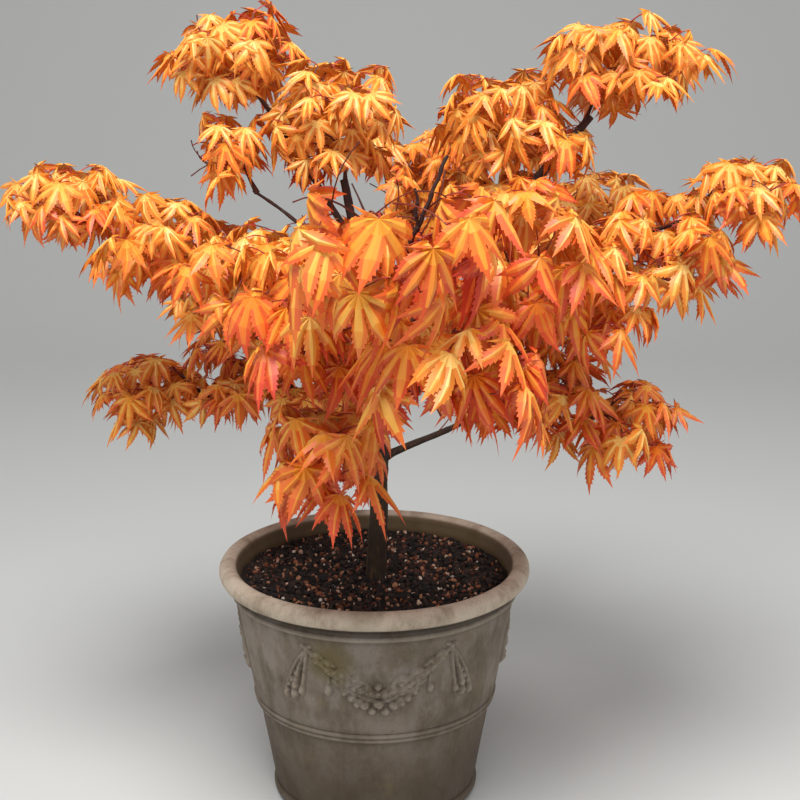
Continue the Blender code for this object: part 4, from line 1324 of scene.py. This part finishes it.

# %% [markdown]
# ## Autumn tints
#
# Each leaf is gold at its heart, orange on the blade and red along the teeth, and whole sprays lean to gold
# or to red. Leaves higher up are also given paler tints, which is painted light for the sky on the crown's
# top.
# All of that is dealt out as plain base colours: a row of twelve, from gold to deep red. A face takes the
# number nearest to its leaf's tone plus its own zone, so no pattern is needed and every edge stays crisp.

# %% Leaf tints
TINTS = (
    (250, 216, 140), (248, 196, 104), (246, 177, 72), (243, 157, 52), (240, 138, 44), (237, 119, 41),
    (231, 100, 39), (222, 80, 34), (207, 60, 28), (185, 43, 22), (156, 32, 18), (128, 24, 16),
)
BASE_TONE, FRONT_TONE, PALEST = 3.7, 1.45, 2.7
# Painted light: higher leaves take paler tints, as the sky lights the top of the crown most.
TONE_HEIGHTS, TONE_THERE = (0.50, 0.65, 0.72, 0.88), (0.0, -0.1, -0.5, -0.85)
LEAF_LOOKS = [plain(f"leaf_tint_{number:02d}", colour, 0.45) for number, colour in enumerate(TINTS)]


# %% All leaves as arrays
def leaf_points(leaves, seed):
    """Points (n, pattern, 3) of the leaves, worked out for all at once.

    A limp leaf is wrapped round its middle line: across it x becomes sin(k x) / k and the height falls by
    (1 - cos(k x)) / k. Its height is the fold of each lobe less arch * distance ** 2 and less that fall.
    """
    rng = np.random.default_rng(seed)
    count = len(leaves)
    keys = ("apex", "blade", "normal")
    apex, blade, normal = (np.array([getattr(leaf, key) for leaf in leaves]) for key in keys)
    size = np.array([leaf.size for leaf in leaves])[:, None]
    front = np.clip(-apex[:, 1] / FRONT_REACH, 0, 1)
    broad = rng.uniform(-0.14, 0.12, count) + 0.16 * front * np.clip((apex[:, 2] - 0.60) / 0.10, 0, 1)
    gold = rng.uniform(-0.20, 0.26, (count, 1, 1))  # how much wider the blade is than in the pattern
    flat = PATTERN[None, :, :2] + gold * PATTERN[None, :, 3:5] + broad[:, None, None] * PATTERN[None, :, 5:]
    out = norm(flat, axis=-1)
    past = np.clip((out - 0.25) / 0.3, 0, 1)
    angle = np.arctan2(flat[..., 0], flat[..., 1]) * rng.uniform(0.84, 1.12, (count, 1))
    angle = angle + np.radians(rng.normal(0, 6, (count, 7)))[:, LOBE_OF] * past
    angle = angle + rng.normal(0, 0.20, (count, 7))[:, LOBE_OF] * past * (out - 0.25)
    arch = rng.uniform(0.08, 0.40, (count, 1)) + rng.normal(0, 0.13, (count, 7))[:, LOBE_OF]
    longer = 1 + rng.normal(0, 0.05, (count, 7))[:, LOBE_OF] * out
    bend = rng.uniform(0.35, 1.05, (count, 1)) + 1.05 * front[:, None]
    wrap = bend * out * longer * np.sin(angle)
    x = size * np.sin(wrap) / bend
    y = size * out * longer * np.cos(angle)
    fold = rng.uniform(0.45, 1.25, (count, 1)) * PATTERN[:, 2]
    z = size * (fold - arch * out**2 - (1 - np.cos(wrap)) / bend)
    across = np.cross(blade, normal)
    return (
        apex[:, None]
        + x[..., None] * across[:, None]
        + y[..., None] * blade[:, None]
        + z[..., None] * normal[:, None]
    )


def leaf_tints(leaves):
    """The tint's number for each face, kind of face by kind of face, as add_piece wants them."""
    apex = np.array([leaf.apex for leaf in leaves])
    front = np.clip(-apex[:, 1] / FRONT_REACH, 0, 1)
    # paler for higher leaves, which is painted light; redder for those in front
    place = np.interp(apex[:, 2], TONE_HEIGHTS, TONE_THERE) + FRONT_TONE * front
    tone = BASE_TONE + (np.array([leaf.tone for leaf in leaves]) + place)[:, None]
    picked = [np.round(np.maximum(tone, PALEST) + zones[None]).astype(int).ravel() for zones in LEAF_ZONES]
    return np.clip(np.concatenate(picked), 0, len(TINTS) - 1)


LEAVES_EACH = 500  # so many leaves to a piece; keeps a piece's file small
for number, begin in enumerate(range(0, len(LEAVES), LEAVES_EACH)):
    batch = LEAVES[begin : begin + LEAVES_EACH]
    face_sets = [repeated(faces, len(batch), len(PATTERN)) for faces in LEAF_FACES]
    add_piece(
        f"leaves_{number + 1}",
        leaf_points(batch, 400 + number),
        face_sets,
        LEAF_LOOKS,
        tints=leaf_tints(batch),
        crease=24,
    )


# %% Leaf stalks
STALK_RINGS, STALK_SIDES = 5, 3
STALK_RADII = (0.00095, 0.00065)


def stalk_paths(leaves):
    """Curves (n, 5, 3) from twig to leaf that leave upwards and come down into the leaf's heart."""
    root, apex = (np.array([getattr(leaf, key) for leaf in leaves]) for key in ("root", "apex"))
    reach = norm(apex - root, axis=1, keepdims=True)
    bend = 0.5 * (root + apex) + (0, 0, 0.22) * reach
    return curve(root[:, None], bend[:, None], apex[:, None], np.linspace(0, 1, STALK_RINGS)[None, :, None])


stalks = stalk_paths(LEAVES)
stalk_radii = np.broadcast_to(np.linspace(*STALK_RADII, STALK_RINGS), stalks.shape[:2])
add_piece(
    "leaf_stalks",
    tubes(stalks, stalk_radii, STALK_SIDES),
    tube_faces(len(stalks), STALK_RINGS, STALK_SIDES),
    [plain("leaf_stalk", (176, 62, 46), 0.5)],
    crease=80,
)

# %% [markdown]
# ## A plain stage
#
# Nothing of the garden is wanted here, only a pale floor that rises in one sweep behind the plant, as a paper
# roll does in a studio: level, then a quarter of a circle, height = R * (1 - cos a), then upright. So there
# is no line where floor meets wall. It belongs to the picture and not to the plant.

# %% Floor
FLOOR_NEAR, FLOOR_FAR = -4.0, 2.5
SWEEP = 1.5  # the curve's radius
STAGE_HALF_WIDTH, STAGE_TOP = 6.0, 4.0


def backdrop():
    """The floor's points (rows, columns, 3) from the near edge to the top behind, and its piece."""
    depth = np.linspace(0, 1, 40)
    angles = np.clip((depth - 0.5) / 0.3, 0, 1) * math.pi / 2
    y = FLOOR_NEAR + (FLOOR_FAR - FLOOR_NEAR) * np.clip(depth / 0.5, 0, 1) + SWEEP * np.sin(angles)
    z = SWEEP * (1 - np.cos(angles)) + STAGE_TOP * np.clip((depth - 0.8) / 0.2, 0, 1)
    x, y = np.meshgrid(np.linspace(-STAGE_HALF_WIDTH, STAGE_HALF_WIDTH, 12), y)
    points = joined(x, y, z[:, None])
    mesh = bpy.data.meshes.new("floor")
    mesh.from_pydata(points.reshape(-1, 3).tolist(), [], grid_faces(40, 12).tolist())
    mesh.materials.append(plain("pale_floor", (0.62, 0.62, 0.60, 1), 0.9))
    mesh.shade_smooth()
    add_object("floor", mesh)
    print("floor:", points.shape[0], "rows of", points.shape[1], "points")


backdrop()

# %% [markdown]
# ## Soft light
#
# The day is overcast and the light comes from high up in front: the rim's top is bright and the body under it
# is in half shade. A wide disk overhead gives that, a weak one from each side opens the shadows, and a
# dim grey-blue surround stands for the rest of the sky.

# %% Lights
def soft_light(name, place, size, power):
    """A round area light that faces the middle of the plant."""
    light = bpy.data.lights.new(name, "AREA")
    light.shape, light.size, light.energy = "DISK", size, power
    lamp = add_object(name, light)
    lamp.location = place
    lamp.rotation_euler = (Vector((0, 0, 0.5)) - Vector(place)).to_track_quat("-Z", "Y").to_euler()
    print(name, "at", place, "with", power, "W")


soft_light("key", (-0.15, -1.3, 3.3), 1.8, 116)
soft_light("right_fill", (1.8, -1.6, 1.8), 1.8, 13)
soft_light("left_fill", (-1.9, -1.4, 1.4), 1.8, 8)
world = bpy.data.worlds.new("studio")
world.use_nodes = True
sky = world.node_tree.nodes["Background"].inputs
sky["Color"].default_value, sky["Strength"].default_value = (0.93, 0.96, 1.0, 1), 0.32
bpy.context.scene.world = world
